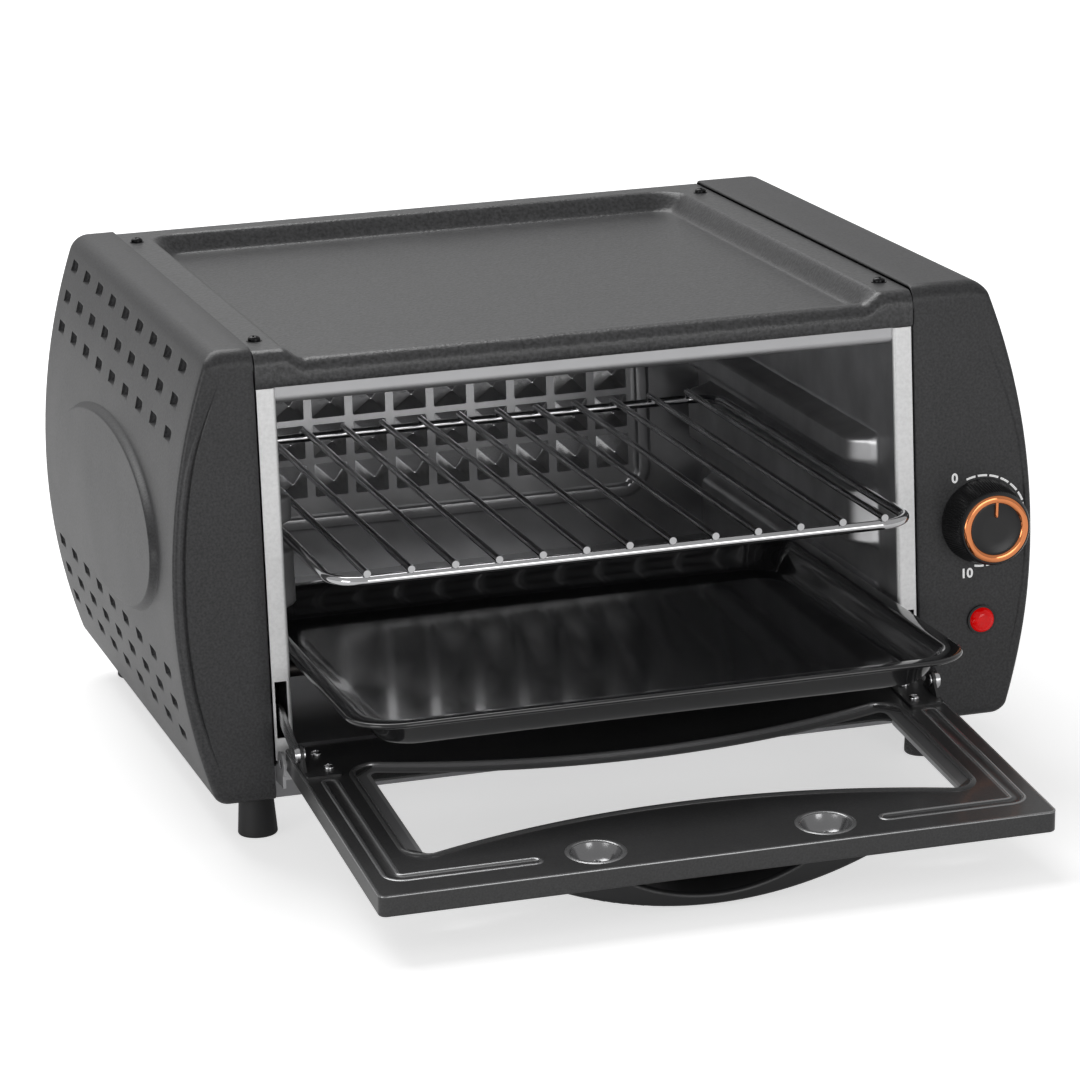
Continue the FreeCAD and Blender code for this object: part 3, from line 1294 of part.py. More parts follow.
def make_lamp():
    """Indicator lamp: a bezel through the panel with a domed lens in it."""
    x, z = dim("lamp_x"), dim("lamp_z")
    wall_back = dim("panel_wall") - dim("face_sink")
    radius = dim("lamp_radius")
    bezel = new_body("lamp_bezel")
    flange = new_sketch(bezel, "XZ", 0)
    circle(flange, 0, 0, dim("lamp_bezel"))
    circle(flange, 0, 0, radius)
    pad(bezel, flange, dim("lamp_flange"))
    barrel = new_sketch(bezel, "XZ", 0)
    circle(barrel, 0, 0, radius + dim("lamp_barrel"))
    circle(barrel, 0, 0, radius)
    pad(bezel, barrel, wall_back + dim("lamp_barrel_depth"), reverse=True)
    control_node("lamp_bezel", bezel, x, z)
    lens = new_body("lamp_lens")
    inside = wall_back + dim("lamp_lens_depth")
    plug = new_sketch(lens, "XZ", -inside)
    circle(plug, 0, 0, radius)
    block = pad(lens, plug, inside + dim("lamp_dome"))
    round_edges(lens, block, lambda edge: edge.CenterOfMass.y < -1, dim("lamp_round"))
    control_node("lamp_lens", lens, x, z)


# ---------------------------------------------------------------- build and write

def failed_objects():
    return [obj.Label for obj in doc.Objects if "Invalid" in obj.State or "Error" in obj.State]


def write_parts():
    os.makedirs("parts", exist_ok=True)
    for name, obj in sorted(NODES.items()):
        shape = obj.Shape
        if shape.isNull() or not shape.isValid() or shape.Volume < 1:
            raise ValueError(f"{name} has no valid solid")
        if len(shape.Solids) != 1:
            raise ValueError(f"{name} has {len(shape.Solids)} solids")
        shape.exportStep(f"parts/{name}.step")


make_panels()
make_top_plate()
make_cavity()
make_base()
make_rear()
make_heaters()
make_door()
make_rack()
make_tray()
make_knob()
make_thermostat()
make_lamp()
doc.recompute()
if failed_objects():
    raise ValueError(f"failed: {failed_objects()}")
write_parts()
print(len(NODES), "sub-parts")
print("origin in the drawing:", round(ORIGIN_X.value, 4), round(ORIGIN_Y.value, 4))
print("hinge:", round(dim("hinge_y").value - ORIGIN_Y.value, 4), dim("hinge_z").value)
print("rivet:", [round(size.value, 4) for size in rivet_point()])
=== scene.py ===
"""Looks of the countertop electric tandoor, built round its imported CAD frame.  Sizes are in mm."""
import math

import bmesh
import bpy
import numpy as np
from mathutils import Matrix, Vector


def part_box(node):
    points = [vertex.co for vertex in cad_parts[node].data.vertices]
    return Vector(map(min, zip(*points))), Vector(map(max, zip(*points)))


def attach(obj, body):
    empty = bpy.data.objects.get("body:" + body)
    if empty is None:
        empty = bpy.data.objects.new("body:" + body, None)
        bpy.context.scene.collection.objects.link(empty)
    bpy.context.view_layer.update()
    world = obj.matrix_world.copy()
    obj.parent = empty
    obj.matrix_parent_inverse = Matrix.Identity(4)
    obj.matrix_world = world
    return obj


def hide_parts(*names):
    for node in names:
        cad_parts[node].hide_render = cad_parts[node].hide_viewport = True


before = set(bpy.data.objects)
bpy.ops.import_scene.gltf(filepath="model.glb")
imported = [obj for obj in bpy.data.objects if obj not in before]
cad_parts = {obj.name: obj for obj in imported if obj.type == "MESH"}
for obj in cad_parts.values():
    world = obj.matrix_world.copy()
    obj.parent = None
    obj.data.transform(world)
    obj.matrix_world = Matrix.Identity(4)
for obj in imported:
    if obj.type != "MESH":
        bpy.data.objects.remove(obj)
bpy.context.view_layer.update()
MM = 0.001


# ---------------- side panels
# Two bowed housings of thin sheet in a charcoal wrinkle paint, hung on the cavity's sides.  The
# vents are cut at the rear and pressed inwards, an oval is pressed outwards, and the left front
# rim carries a bead.

def node(tree, kind, inputs, operation=None):
    """A shader tree's node of a name, or a new one of a kind, with its inputs fed by name or
    number: another node's output is linked to them and anything else is set."""
    made = tree.nodes.get(kind) or tree.nodes.new(kind)
    if operation:
        made.operation = operation
    for socket, value in inputs.items():
        if isinstance(value, bpy.types.NodeSocket):
            tree.links.new(value, made.inputs[socket])
        else:
            made.inputs[socket].default_value = value
    return made


NOISE_BAND = (0.3, 0.7)


def sheet_finish(name, colour, roughness, metallic=0.0, grain=1200.0, depth=0.03,
                 stretch=(1, 1, 1), uneven=0.08, patch=30.0, coat=0.0, specular=0.5,
                 speckle=0.0, glow=0.0, glow_colour=(1, 1, 1)):
    """Finish of a painted or bare sheet, in object space.

    Colour and roughness move by the share `uneven` with a broad noise of `patch` cells a metre;
    the surface rises by up to `depth` mm with a fine noise of `grain` cells a metre, whose cells
    are drawn out by `stretch`; the same noise moves the colour by the share `speckle`.
    """
    material = bpy.data.materials.new(name)
    material.use_nodes = True
    tree = material.node_tree
    place = node(tree, "ShaderNodeTexCoord", {}).outputs["Object"]
    broad = node(tree, "ShaderNodeTexNoise", {
        "Vector": place, "Scale": patch, "Detail": 4}).outputs["Fac"]
    tone = node(tree, "ShaderNodeValToRGB", {"Fac": broad})
    for stop, position, share in zip(tone.color_ramp.elements, NOISE_BAND,
                                     (1 - uneven, 1 + uneven)):
        stop.position = position
        stop.color = (*[channel * share for channel in colour], 1)
    gloss = node(tree, "ShaderNodeMapRange", {
        "Value": broad, "To Min": roughness * (1 - 1.5 * uneven),
        "To Max": roughness * (1 + 1.5 * uneven)})
    drawn = node(tree, "ShaderNodeMapping", {"Vector": place, "Scale": stretch})
    fine = node(tree, "ShaderNodeTexNoise", {
        "Vector": drawn.outputs["Vector"], "Scale": grain, "Detail": 2}).outputs["Fac"]
    bump = node(tree, "ShaderNodeBump", {"Strength": 1, "Distance": depth * MM, "Height": fine})
    spots = node(tree, "ShaderNodeMapRange", {
        "Value": fine, "From Min": NOISE_BAND[0], "From Max": NOISE_BAND[1],
        "To Min": 1 - speckle, "To Max": 1 + speckle})
    shade = node(tree, "ShaderNodeHueSaturation", {
        "Color": tone.outputs["Color"], "Value": spots.outputs["Result"]})
    node(tree, "Principled BSDF", {
        "Base Color": shade.outputs["Color"], "Roughness": gloss.outputs["Result"],
        "Normal": bump.outputs["Normal"], "Metallic": metallic, "Specular IOR Level": specular,
        "Coat Weight": coat, "Coat Roughness": 0.08, "Emission Color": (*glow_colour, 1),
        "Emission Strength": glow})
    return material


def dress(material, *names):
    """Gives CAD nodes a finish in place of the plain one that they came with."""
    for name in names:
        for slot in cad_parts[name].material_slots:
            slot.material = material


wrinkle_paint = sheet_finish("wrinkle_paint", (0.057, 0.057, 0.059), 0.4, grain=1000, depth=0.06,
                             specular=0.35, speckle=0.3)
dress(wrinkle_paint, "left_side_panel", "right_side_panel")

low_corner, high_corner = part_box("top_plate")
PLATE_GAP = 0.4
OPENING_LEFT = low_corner[0] / MM - PLATE_GAP
OPENING_RIGHT = high_corner[0] / MM + PLATE_GAP
FRONT = low_corner[1] / MM
BACK = high_corner[1] / MM + PLATE_GAP
MIDDLE = (FRONT + BACK) / 2
PLATE_LEVEL = high_corner[2] / MM
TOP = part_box("left_side_panel")[1][2] / MM

BULGE_LEVEL, PANEL_BOTTOM, TOP_DROP, BOTTOM_DROP = 97.0, 16.5, 18.8, 13.2
TOP_CORNER, FOOT_CORNER, PANEL_SHEET, FACE_SINK = 9.0, 6.5, 1.6, 0.5
RIM_ROUND, TOP_RIM_ROUND, FOOT_RIM_ROUND, BACK_ROUND, STEP_WIDTH = 2.0, 6.5, 3.5, 2.0, 1.1
RIM_MARGIN, STEP_LAP, BEAD_LAP, BEAD_FALL = 0.5, 0.2, 0.7, 0.25
BACK_RIM, EDGE_ROUND = 3.2, (0.18, 0.6)
TOP_GROWTH, FOOT_GROWTH, TOP_SHIFT, FOOT_SHIFT = (0.34, 0.66), (0.3, 0.7), (0.08, 0.24), (0.05, 0.2)
TOP_FADE, FOOT_FADE = (0.18, 0.18), (0.12, 0.17)
BEAD_EDGE, BEAD_ROUND, BEAD_GROOVE, BEAD_END = 1.7, 1.6, 0.9, 4.8
OVAL_FRONT, OVAL_BACK, OVAL_HEIGHT, OVAL_LEVEL, OVAL_RISE = 29.7, 39.9, 73.4, 110.3, 3.0
VENT_FRONT, VENT_LENGTH, VENT_HEIGHT, VENT_RISE, VENT_BACK = 24.0, 13.0, 5.0, 13.0, 14.8
VENT_LEVELS, VENT_ROWS, VENT_COLUMNS, VENT_DEPTH = (37.0, 158.5), 3, 9, 2.4
VENT_MOUTH, VENT_BROW, VENT_RAMP = 0.95, 0.978, 0.72
OVAL_STEP, OVAL_SEAT = (-1.1, 3.4), 0.06
FOOT_STEPS, HEAD_STEPS = 8, 12
vent_pitch = (BACK - FRONT - VENT_FRONT - VENT_LENGTH - VENT_BACK) / (VENT_COLUMNS - 1)
vent_starts = FRONT + VENT_FRONT + vent_pitch * np.arange(VENT_COLUMNS)
vent_lows = np.add.outer(VENT_LEVELS, VENT_RISE * np.arange(VENT_ROWS)).ravel()


def join(parts, axis=0):
    """Arrays set end to end."""
    return np.concatenate(parts, axis=axis)


def full_turn(count):
    """Angles of a full turn, without its end."""
    return np.linspace(0, 2 * math.pi, count, endpoint=False)


def surface(name, points, body, finish, around=False, along=False, keep=None,
            capped=False, smooth=40):
    """Piece of quads over one or more grids of points (grids, rows, columns, xyz), in mm.

    around joins each row's ends, along joins the first and last rows, capped closes the last row
    by one flat face, and keep, one truth value per quad of a grid, leaves out those of a hole.
    """
    points = points.reshape(-1, *points.shape[-3:])
    grids, rows, columns = points.shape[:3]
    index = np.arange(grids * rows * columns).reshape(grids, rows, columns)
    if around:
        index = join([index, index[:, :, :1]], axis=2)
    if along:
        index = join([index, index[:, :1]], axis=1)
    quads = np.stack([index[:, :-1, :-1], index[:, :-1, 1:], index[:, 1:, 1:],
                      index[:, 1:, :-1]], axis=-1)
    if keep is not None:
        quads = quads[:, keep]
    cap = [index[0, -1, :columns].tolist()] if capped else []
    mesh = bpy.data.meshes.new(name)
    mesh.from_pydata((points.reshape(-1, 3) * MM).tolist(), [],
                     quads.reshape(-1, 4).tolist() + cap)
    return piece(name, mesh, body, finish, smooth)


def piece(name, mesh, body, finish, smooth=40):
    """Joins a mesh's seams, closes its poles, turns its faces outwards and puts it on a body."""
    shape = bmesh.new()
    shape.from_mesh(mesh)
    bmesh.ops.remove_doubles(shape, verts=shape.verts, dist=0.002 * MM)
    bmesh.ops.dissolve_degenerate(shape, edges=shape.edges, dist=0.0005 * MM)
    bmesh.ops.recalc_face_normals(shape, faces=shape.faces)
    shape.to_mesh(mesh)
    shape.free()
    mesh.materials.append(finish)
    mesh.shade_smooth()
    mesh.set_sharp_from_angle(angle=math.radians(smooth))
    made = bpy.data.objects.new(name, mesh)
    bpy.context.collection.objects.link(made)
    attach(made, body)
    return made


def face_outwards(made, x, y, z):
    """Turns an open sheet over where most of it looks towards a point in mm, not away from it."""
    inner = Vector((x * MM, y * MM, z * MM))
    away = sum(face.area * face.normal.dot(face.center - inner) for face in made.data.polygons)
    if away < 0:
        made.data.flip_normals()


def thicken(made, thickness, inner, even=True):
    """Gives a sheet its wall on the side of an inner point; its free edges stay sharp."""
    face_outwards(made, *inner)
    shape = bmesh.new()
    shape.from_mesh(made.data)
    for edge in shape.edges:
        if edge.is_boundary:
            edge.smooth = False
    shape.to_mesh(made.data)
    shape.free()
    wall = made.modifiers.new("wall", "SOLIDIFY")
    wall.thickness = thickness * MM
    wall.offset = -1
    wall.use_even_offset = even


def smooth_step(share):
    """Rises from 0 to 1 as three squares less two cubes of the share, flat at both ends."""
    share = np.clip(share, 0, 1)
    return share * share * (3 - 2 * share)


def ramp(value, start, length):
    """Smooth step of a value over a length from its start."""
    return smooth_step((value - start) / length)


def quarter(count):
    """Angles of a quarter turn."""
    return np.radians(np.linspace(0, 90, count))


def bow_radii(z):
    """Radius of the skin's bow at each height: each bow passes through the bulge and its end."""
    drop = np.where(z > BULGE_LEVEL, TOP_DROP, BOTTOM_DROP)
    rise = np.where(z > BULGE_LEVEL, TOP - BULGE_LEVEL, BULGE_LEVEL - PANEL_BOTTOM)
    return (drop ** 2 + rise ** 2) / (2 * drop)


def on_skin(z, bulge, lift=0.0):
    """Reach and height of a point lift above the skin, square to the bow, at height z."""
    radius = bow_radii(z)
    sine = (z - BULGE_LEVEL) / radius
    cosine = np.sqrt(1 - sine ** 2)
    return bulge - radius + (radius + lift) * cosine, z + lift * sine


def corner_turn(bulge, edge, corner, count):
    """Round corner that touches the bow and the flat end at a height: reach, height, normal."""
    radius = float(bow_radii(edge))
    up = abs(edge - BULGE_LEVEL) - corner
    first = math.asin(up / (radius - corner))
    middle = bulge - radius + (radius - corner) * math.cos(first)
    turn = np.linspace(first, math.pi / 2, count)
    sign = 1 if edge > BULGE_LEVEL else -1
    return (middle + corner * np.cos(turn), BULGE_LEVEL + sign * (up + corner * np.sin(turn)),
            np.cos(turn), sign * np.sin(turn))


def panel_section(bulge):
    """Reach, height and outward normal along a panel's section: bottom, foot corner, lower and
    upper bow with the vents' rows, top corner, top, and the round of the inner edge."""
    foot = [line[::-1] for line in corner_turn(bulge, PANEL_BOTTOM, FOOT_CORNER, FOOT_STEPS)]
    head = corner_turn(bulge, TOP, TOP_CORNER, HEAD_STEPS)
    across = np.array([-0.12, 0, 0.07, 0.16, 0.28, 0.42, 0.58, 0.72, 0.84, 0.93, 1, 1.12])
    rows = np.add.outer(vent_lows, VENT_HEIGHT * across).ravel()
    between = np.arange(foot[1][-1] + 4, head[1][0] - 3, 5.5)
    clear = np.abs(between[:, None] - vent_lows[None] - VENT_HEIGHT / 2).min(axis=1) > 4.5
    z = np.sort(join([rows, between[clear]]))
    reach, _ = on_skin(z, bulge)
    sine = (z - BULGE_LEVEL) / bow_radii(z)
    bow = (reach, z, np.sqrt(1 - sine ** 2), sine)
    bottom = ([0, foot[0][0] / 2], [PANEL_BOTTOM] * 2, [0, 0], [-1, -1])
    near, far = EDGE_ROUND
    top = ([head[0][-1] / 2, far, near, 0], [TOP, TOP, TOP - near, TOP - far], [0] * 4, [1] * 4)
    lines = [join(parts) for parts in zip(bottom, foot, bow, head, top)]
    outer = slice(2, 2 + FOOT_STEPS + z.size + HEAD_STEPS)
    return lines, outer


def rim_profile(normal_z, border, bead):
    """Inset and depth over the front rim, from the skin to the sunk face, one row a point.

    Plain rim: a quarter circle, a flat border and a smooth step down, which fades out towards
    the top and the foot while the quarter circle grows.  Beaded rim: a smaller quarter circle
    into a groove, a ridge as half a sine, and a groove; it fades out at the same places."""
    turn = quarter(10)
    share = np.linspace(0, 1, 12)[1:]
    radius = (RIM_ROUND + (TOP_RIM_ROUND - RIM_ROUND) * ramp(normal_z, *TOP_GROWTH)
              + (FOOT_RIM_ROUND - RIM_ROUND) * ramp(-normal_z, *FOOT_GROWTH))[:, None]
    top_shift = max(TOP_RIM_ROUND + RIM_MARGIN - border, 0)
    foot_shift = max(FOOT_RIM_ROUND + RIM_MARGIN - border, 0)
    start = (border + top_shift * ramp(normal_z, *TOP_SHIFT)
             + foot_shift * ramp(-normal_z, *FOOT_SHIFT))[:, None]
    fade = ramp(normal_z, *TOP_FADE) + ramp(-normal_z, *FOOT_FADE)
    sunk = FACE_SINK * fade[:, None]
    plain_inset = join([radius * (1 - np.cos(turn)), start + STEP_WIDTH * share,
                        start + STEP_WIDTH + STEP_LAP], axis=1)
    plain_depth = join([sunk + radius * (1 - np.sin(turn)),
                        sunk + (FACE_SINK - sunk) * smooth_step(share),
                        np.full_like(radius, FACE_SINK)], axis=1)
    bead_inset = join([BEAD_EDGE * (1 - np.cos(turn)),
                       BEAD_EDGE + (BEAD_END - BEAD_EDGE) * share, [BEAD_END + BEAD_LAP]])
    ridge = BEAD_GROOVE * (1 - np.sin(math.pi * share)) + BEAD_FALL * share ** 6
    bead_depth = join([BEAD_GROOVE + BEAD_ROUND * (1 - np.sin(turn)), ridge, [FACE_SINK]])
    weight = bead * (1 - fade)[:, None]
    return (plain_inset + (bead_inset - plain_inset) * weight,
            plain_depth + (bead_depth - plain_depth) * weight)


def vent_press(y, z):
    """Depth of the vents' pockets and where in its vent each point lies, along and across.

    The depth grows as a smooth step from a vent's front edge towards its mouth at the rear,
    where it falls off in a line, and falls off at both flanks as one less the fourth power of
    the distance from the middle.  The mouth is the outer part of that fall."""
    column = np.abs(y[..., None] - vent_starts - VENT_LENGTH / 2).argmin(axis=-1)
    row = np.abs(z[..., None] - vent_lows - VENT_HEIGHT / 2).argmin(axis=-1)
    along = (y - vent_starts[column]) / VENT_LENGTH
    across = (z - vent_lows[row]) / VENT_HEIGHT
    inside = (along > 0) & (along < 1) & (across > 0) & (across < 1)
    flank = 1 - np.abs(2 * across - 1) ** 4
    press = smooth_step(along / VENT_RAMP) * np.clip((1 - along) / (1 - VENT_MOUTH), 0, 1)
    return VENT_DEPTH * inside * press * flank, along, across


def side_panel(side, edge_x, bulge, outward, border, bead):
    """Skin with both rims, front face and back face, each a grid over the section's points."""
    (reach, z, normal_x, normal_z), outer = panel_section(bulge)
    inset, depth = rim_profile(normal_z, border, bead)
    share = np.array([-0.04, 0, 0.04, 0.1, 0.2, 0.32, 0.45, 0.58, 0.7, 0.8, 0.9, VENT_MOUTH,
                      VENT_BROW, 1, 1.03])
    columns = np.add.outer(vent_starts, VENT_LENGTH * share).ravel()
    flat_y = join([[FRONT + 8, FRONT + 16], columns, [BACK - 4]])
    turn = quarter(7)
    back_inset = join([BACK_ROUND * (1 - np.cos(turn)), [BACK_RIM]])
    back_y = BACK - BACK_ROUND + join([BACK_ROUND * np.sin(turn), [BACK_ROUND]])
    rows = (reach.size, 1)
    all_inset = join([inset[:, ::-1], np.tile(0 * flat_y, rows), np.tile(back_inset, rows)], 1)
    all_y = join([FRONT + depth[:, ::-1], np.tile(join([flat_y, back_y]), rows)], 1)
    sunk = all_inset + vent_press(all_y, np.broadcast_to(z[:, None], all_y.shape))[0]
    x = edge_x + outward * (reach[:, None] - sunk * normal_x[:, None])
    points = np.stack([x, all_y, z[:, None] - sunk * normal_z[:, None]], axis=-1)
    mid_y = (all_y[:-1, :-1] + all_y[:-1, 1:]) / 2
    mid_z = np.broadcast_to((z[:-1, None] + z[1:, None]) / 2, mid_y.shape)
    _, mid_along, mid_across = vent_press(mid_y, mid_z)
    mouth = ((mid_along > VENT_BROW) & (mid_along < 1) & (mid_across > 0.02)
             & (mid_across < 0.98))
    skin = surface(side + "_panel_skin", points, "oven", wrinkle_paint,
                   keep=~mouth, smooth=50)
    middle = (edge_x + outward * bulge / 2, MIDDLE, BULGE_LEVEL)
    thicken(skin, PANEL_SHEET, middle, even=False)
    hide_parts(side + "_side_panel")
    near, far = EDGE_ROUND
    shrink = np.array([1, 0.7, 0.4, 0.2, 0, 0, 0, 0])
    rest = np.array([0, 0.25, 0.5, 0.75, far, near, 0, 0])
    front_y = FRONT + FACE_SINK + np.array([0, 0, 0, 0, 0, near, far, 4])
    back_face_y = BACK - np.array([0, 0, 0, 0, 0, 0, 0.3, 2])
    for name, start, y in (("front", inset[outer, -1], front_y),
                           ("back", np.full_like(z[outer], BACK_RIM), back_face_y)):
        start_reach = reach[outer] - start * normal_x[outer]
        start_z = z[outer] - start * normal_z[outer]
        face_x = edge_x + outward * (start_reach[:, None] * shrink + rest)
        grid = np.stack([face_x, np.broadcast_to(y, face_x.shape),
                         np.broadcast_to(start_z[:, None], face_x.shape)], axis=-1)
        made = surface(f"{side}_panel_{name}", grid, "oven",
                       wrinkle_paint, smooth=50)
        thicken(made, PANEL_SHEET, middle, even=False)


def raised_oval(side, edge_x, bulge, outward):
    """Rings of an ellipse, each smaller by a distance; they lift off the skin by a smooth step
    of that distance, and the last ring closes on the ellipse's middle line."""
    distance = join([np.linspace(OVAL_STEP[0], 2.5, 19), np.linspace(4, OVAL_HEIGHT / 2, 9)])
    turn = full_turn(288)
    half = (BACK - FRONT - OVAL_FRONT - OVAL_BACK) / 2
    y = FRONT + OVAL_FRONT + half + np.multiply.outer(half - distance, np.cos(turn))
    z = OVAL_LEVEL + np.multiply.outer(OVAL_HEIGHT / 2 - distance, np.sin(turn))
    lift = (OVAL_RISE + OVAL_SEAT) * ramp(distance, *OVAL_STEP) - OVAL_SEAT
    reach, lifted_z = on_skin(z, bulge, lift[:, None])
    made = surface(side + "_oval", np.stack([edge_x + outward * reach, y, lifted_z], axis=-1),
                   "oven", wrinkle_paint, around=True, smooth=60)
    face_outwards(made, edge_x, MIDDLE, BULGE_LEVEL)


LEFT_BORDER, RIGHT_BORDER = 4.8, 2.4
left_bulge = OPENING_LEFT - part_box("left_side_panel")[0][0] / MM - OVAL_RISE
right_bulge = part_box("right_side_panel")[1][0] / MM - OPENING_RIGHT - OVAL_RISE
side_panel("left", OPENING_LEFT, left_bulge, -1, LEFT_BORDER, bead=1)
side_panel("right", OPENING_RIGHT, right_bulge, 1, RIGHT_BORDER, bead=0)
raised_oval("left", OPENING_LEFT, left_bulge, -1)
raised_oval("right", OPENING_RIGHT, right_bulge, 1)


# ---------------- top plate
# One drawn steel sheet: a shallow pan that keeps bread warm, open to the front between two
# corner tabs, a flat rim with a screw in each corner, and a lip rolled down over the opening.

PAN_DEPTH, PAN_SLOPE, PAN_SIDE, PAN_BACK, PAN_CORNER = 8.0, 6.0, 13.5, 12.0, 14.0
PAN_FRONT, PAN_FRONT_RIM, PAN_FRONT_DROP, PAN_SOFTNESS = 16.0, 7.0, 4.4, 1.2
PLATE_BAND, PLATE_FINE, PLATE_COARSE = (32, 26), 0.8, 8
PLATE_SHEET, LIP_RADIUS, LIP_HEIGHT, LIP_CURL, LIP_CURL_HEIGHT = 1.2, 6.0, 14.3, 1.0, 3.4


def inside_round_rectangle(x, y, x0, x1, y0, y1, corner):
    """Distance inside a rectangle with round corners: the corner's radius less the distance
    from the rectangle shrunk by that radius, or less the smallest distance to a side."""
    past_x = np.abs(x - (x0 + x1) / 2) - (x1 - x0) / 2 + corner
    past_y = np.abs(y - (y0 + y1) / 2) - (y1 - y0) / 2 + corner
    outside = np.hypot(np.maximum(past_x, 0), np.maximum(past_y, 0))
    return corner - outside - np.minimum(np.maximum(past_x, past_y), 0)


def dense_at_ends(low, high, band, fine, coarse):
    """Steps from low to high: fine ones over a band at both ends and coarse ones between."""
    ends = np.arange(0, band, fine)
    middle = np.linspace(low + band, high - band, max(2, round((high - low - 2 * band) / coarse)))
    return join([low + ends, middle, high - ends[::-1]])


def top_plate():
    """Rows run up the curl, the lip and the roll, back over a short rim, down a smooth step to
    the pan's floor and over the pan, which sinks by a smooth step of the distance inside it."""
    line_x = dense_at_ends(OPENING_LEFT + PLATE_GAP, OPENING_RIGHT - PLATE_GAP, PLATE_BAND[0],
                           PLATE_FINE, PLATE_COARSE)
    inside_x = np.minimum(line_x - OPENING_LEFT, OPENING_RIGHT - line_x) - PAN_SIDE
    slope = (-PAN_SOFTNESS, PAN_SLOPE + 2 * PAN_SOFTNESS)
    slope_share = ramp(inside_x, *slope)
    rim = PLATE_LEVEL - PAN_FRONT_DROP * slope_share
    low = PLATE_LEVEL - LIP_HEIGHT
    curl_radius = (LIP_CURL ** 2 + LIP_CURL_HEIGHT ** 2) / (2 * LIP_CURL)
    curl = np.linspace(math.asin(LIP_CURL_HEIGHT / curl_radius), 0, 6)
    climb = np.linspace(0, 1, 5)[1:-1]
    roll = quarter(12)
    tongue = np.linspace(0, 1, 13)
    back_y = dense_at_ends(FRONT + PAN_FRONT, BACK - PLATE_GAP, PLATE_BAND[1], PLATE_FINE,
                           PLATE_COARSE)[1:]
    curl_z = low + LIP_CURL_HEIGHT - curl_radius * np.sin(curl)
    climb_z = (low + LIP_CURL_HEIGHT) * (1 - climb[:, None]) + (rim - LIP_RADIUS) * climb[:, None]
    floor = PLATE_LEVEL - PAN_DEPTH * slope_share
    x, y = np.meshgrid(line_x, back_y)
    inside = inside_round_rectangle(x, y, OPENING_LEFT + PAN_SIDE, OPENING_RIGHT - PAN_SIDE,
                                    FRONT - 2 * PAN_CORNER, BACK - PAN_BACK, PAN_CORNER)
    pan = PLATE_LEVEL - PAN_DEPTH * ramp(inside, *slope)
    z = join([
        np.tile(curl_z[:, None], (1, line_x.size)), climb_z,
        rim - LIP_RADIUS * (1 - np.sin(roll[:, None])),
        rim + (floor - rim) * smooth_step(tongue[:, None]), pan])
    line_y = join([
        FRONT + curl_radius * (1 - np.cos(curl)), np.full(climb.size, FRONT),
        FRONT + LIP_RADIUS * (1 - np.cos(roll)),
        FRONT + PAN_FRONT_RIM + (PAN_FRONT - PAN_FRONT_RIM) * tongue, back_y])
    points = np.stack([np.broadcast_to(line_x, z.shape),
                       np.broadcast_to(line_y[:, None], z.shape), z], axis=-1)
    made = surface("top_sheet", points, "oven", plate_paint)
    thicken(made, PLATE_SHEET, (0, MIDDLE, PLATE_LEVEL - 60))
    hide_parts("top_plate")


plate_paint = sheet_finish("plate_paint", (0.06, 0.06, 0.062), 0.32, grain=700, depth=0.16,
                           specular=0.5, speckle=0.45)
top_plate()


# ---------------- screws
# Pan-head cross-recessed screws: black ones with a flange hold the top plate, bright zinc ones
# hold the stay brackets and the handle.

def screw_head(name, center, up, side, radius, height, body, finish, flange=1.0):
    """Dome over a disc: height falls as the square root of one less a power of the radius; a
    cross, the nearer of two bars, is sunk into it; the skirt goes down to the seat.

    flange is the radius of the seat as a share of the head's."""
    radius_share = join([np.linspace(0, 0.62, 14), np.linspace(0.68, 1, 9)])
    angle = full_turn(64)
    share, turn = np.meshgrid(radius_share, angle, indexing="ij")
    along, across = share * np.cos(turn), share * np.sin(turn)
    side_share, cross_share, bar_end, bar_side = 0.35, 0.55, 0.52, 0.12
    dome = height * (side_share + (1 - side_share) * np.sqrt(np.maximum(1 - share ** 2.6, 0)))
    bar = np.minimum(np.maximum(np.abs(along) / bar_end, np.abs(across) / bar_side),
                     np.maximum(np.abs(across) / bar_end, np.abs(along) / bar_side))
    lift = dome - cross_share * height * (1 - ramp(bar, 0.85, 0.3))
    skirt = np.array([[1, 0.12], [flange, 0.12], [flange, 0], [0, 0]])
    ring = (1, angle.size)
    spread = join([share, np.tile(skirt[:, :1], ring)]) * radius
    lift = join([lift, np.tile(skirt[:, 1:] * height, ring)])
    turn = join([turn, np.tile(angle, (len(skirt), 1))])
    up, side = np.array(up, float), np.array(side, float)
    other = np.cross(up, side)
    points = (np.array(center) + (spread * np.cos(turn))[..., None] * side
              + (spread * np.sin(turn))[..., None] * other + lift[..., None] * up)
    surface(name, points, body, finish, around=True, smooth=30)


black_zinc = sheet_finish("black_zinc", (0.012, 0.012, 0.013), 0.28, metallic=0.6, grain=2500,
                          depth=0.008)
PLATE_SCREW_X, PLATE_SCREW_FRONT, PLATE_SCREW_BACK = 5.9, 24.0, 23.6
for side, x in (("left", OPENING_LEFT + PLATE_SCREW_X), ("right", OPENING_RIGHT - PLATE_SCREW_X)):
    for end, y in (("front", FRONT + PLATE_SCREW_FRONT), ("back", BACK - PLATE_SCREW_BACK)):
        screw_head(f"plate_screw_{end}_{side}", (x, y, PLATE_LEVEL), (0, 0, 1),
                   (math.cos(x), math.sin(x), 0), 2.5, 2.0, "oven", black_zinc,
                   flange=1.25)
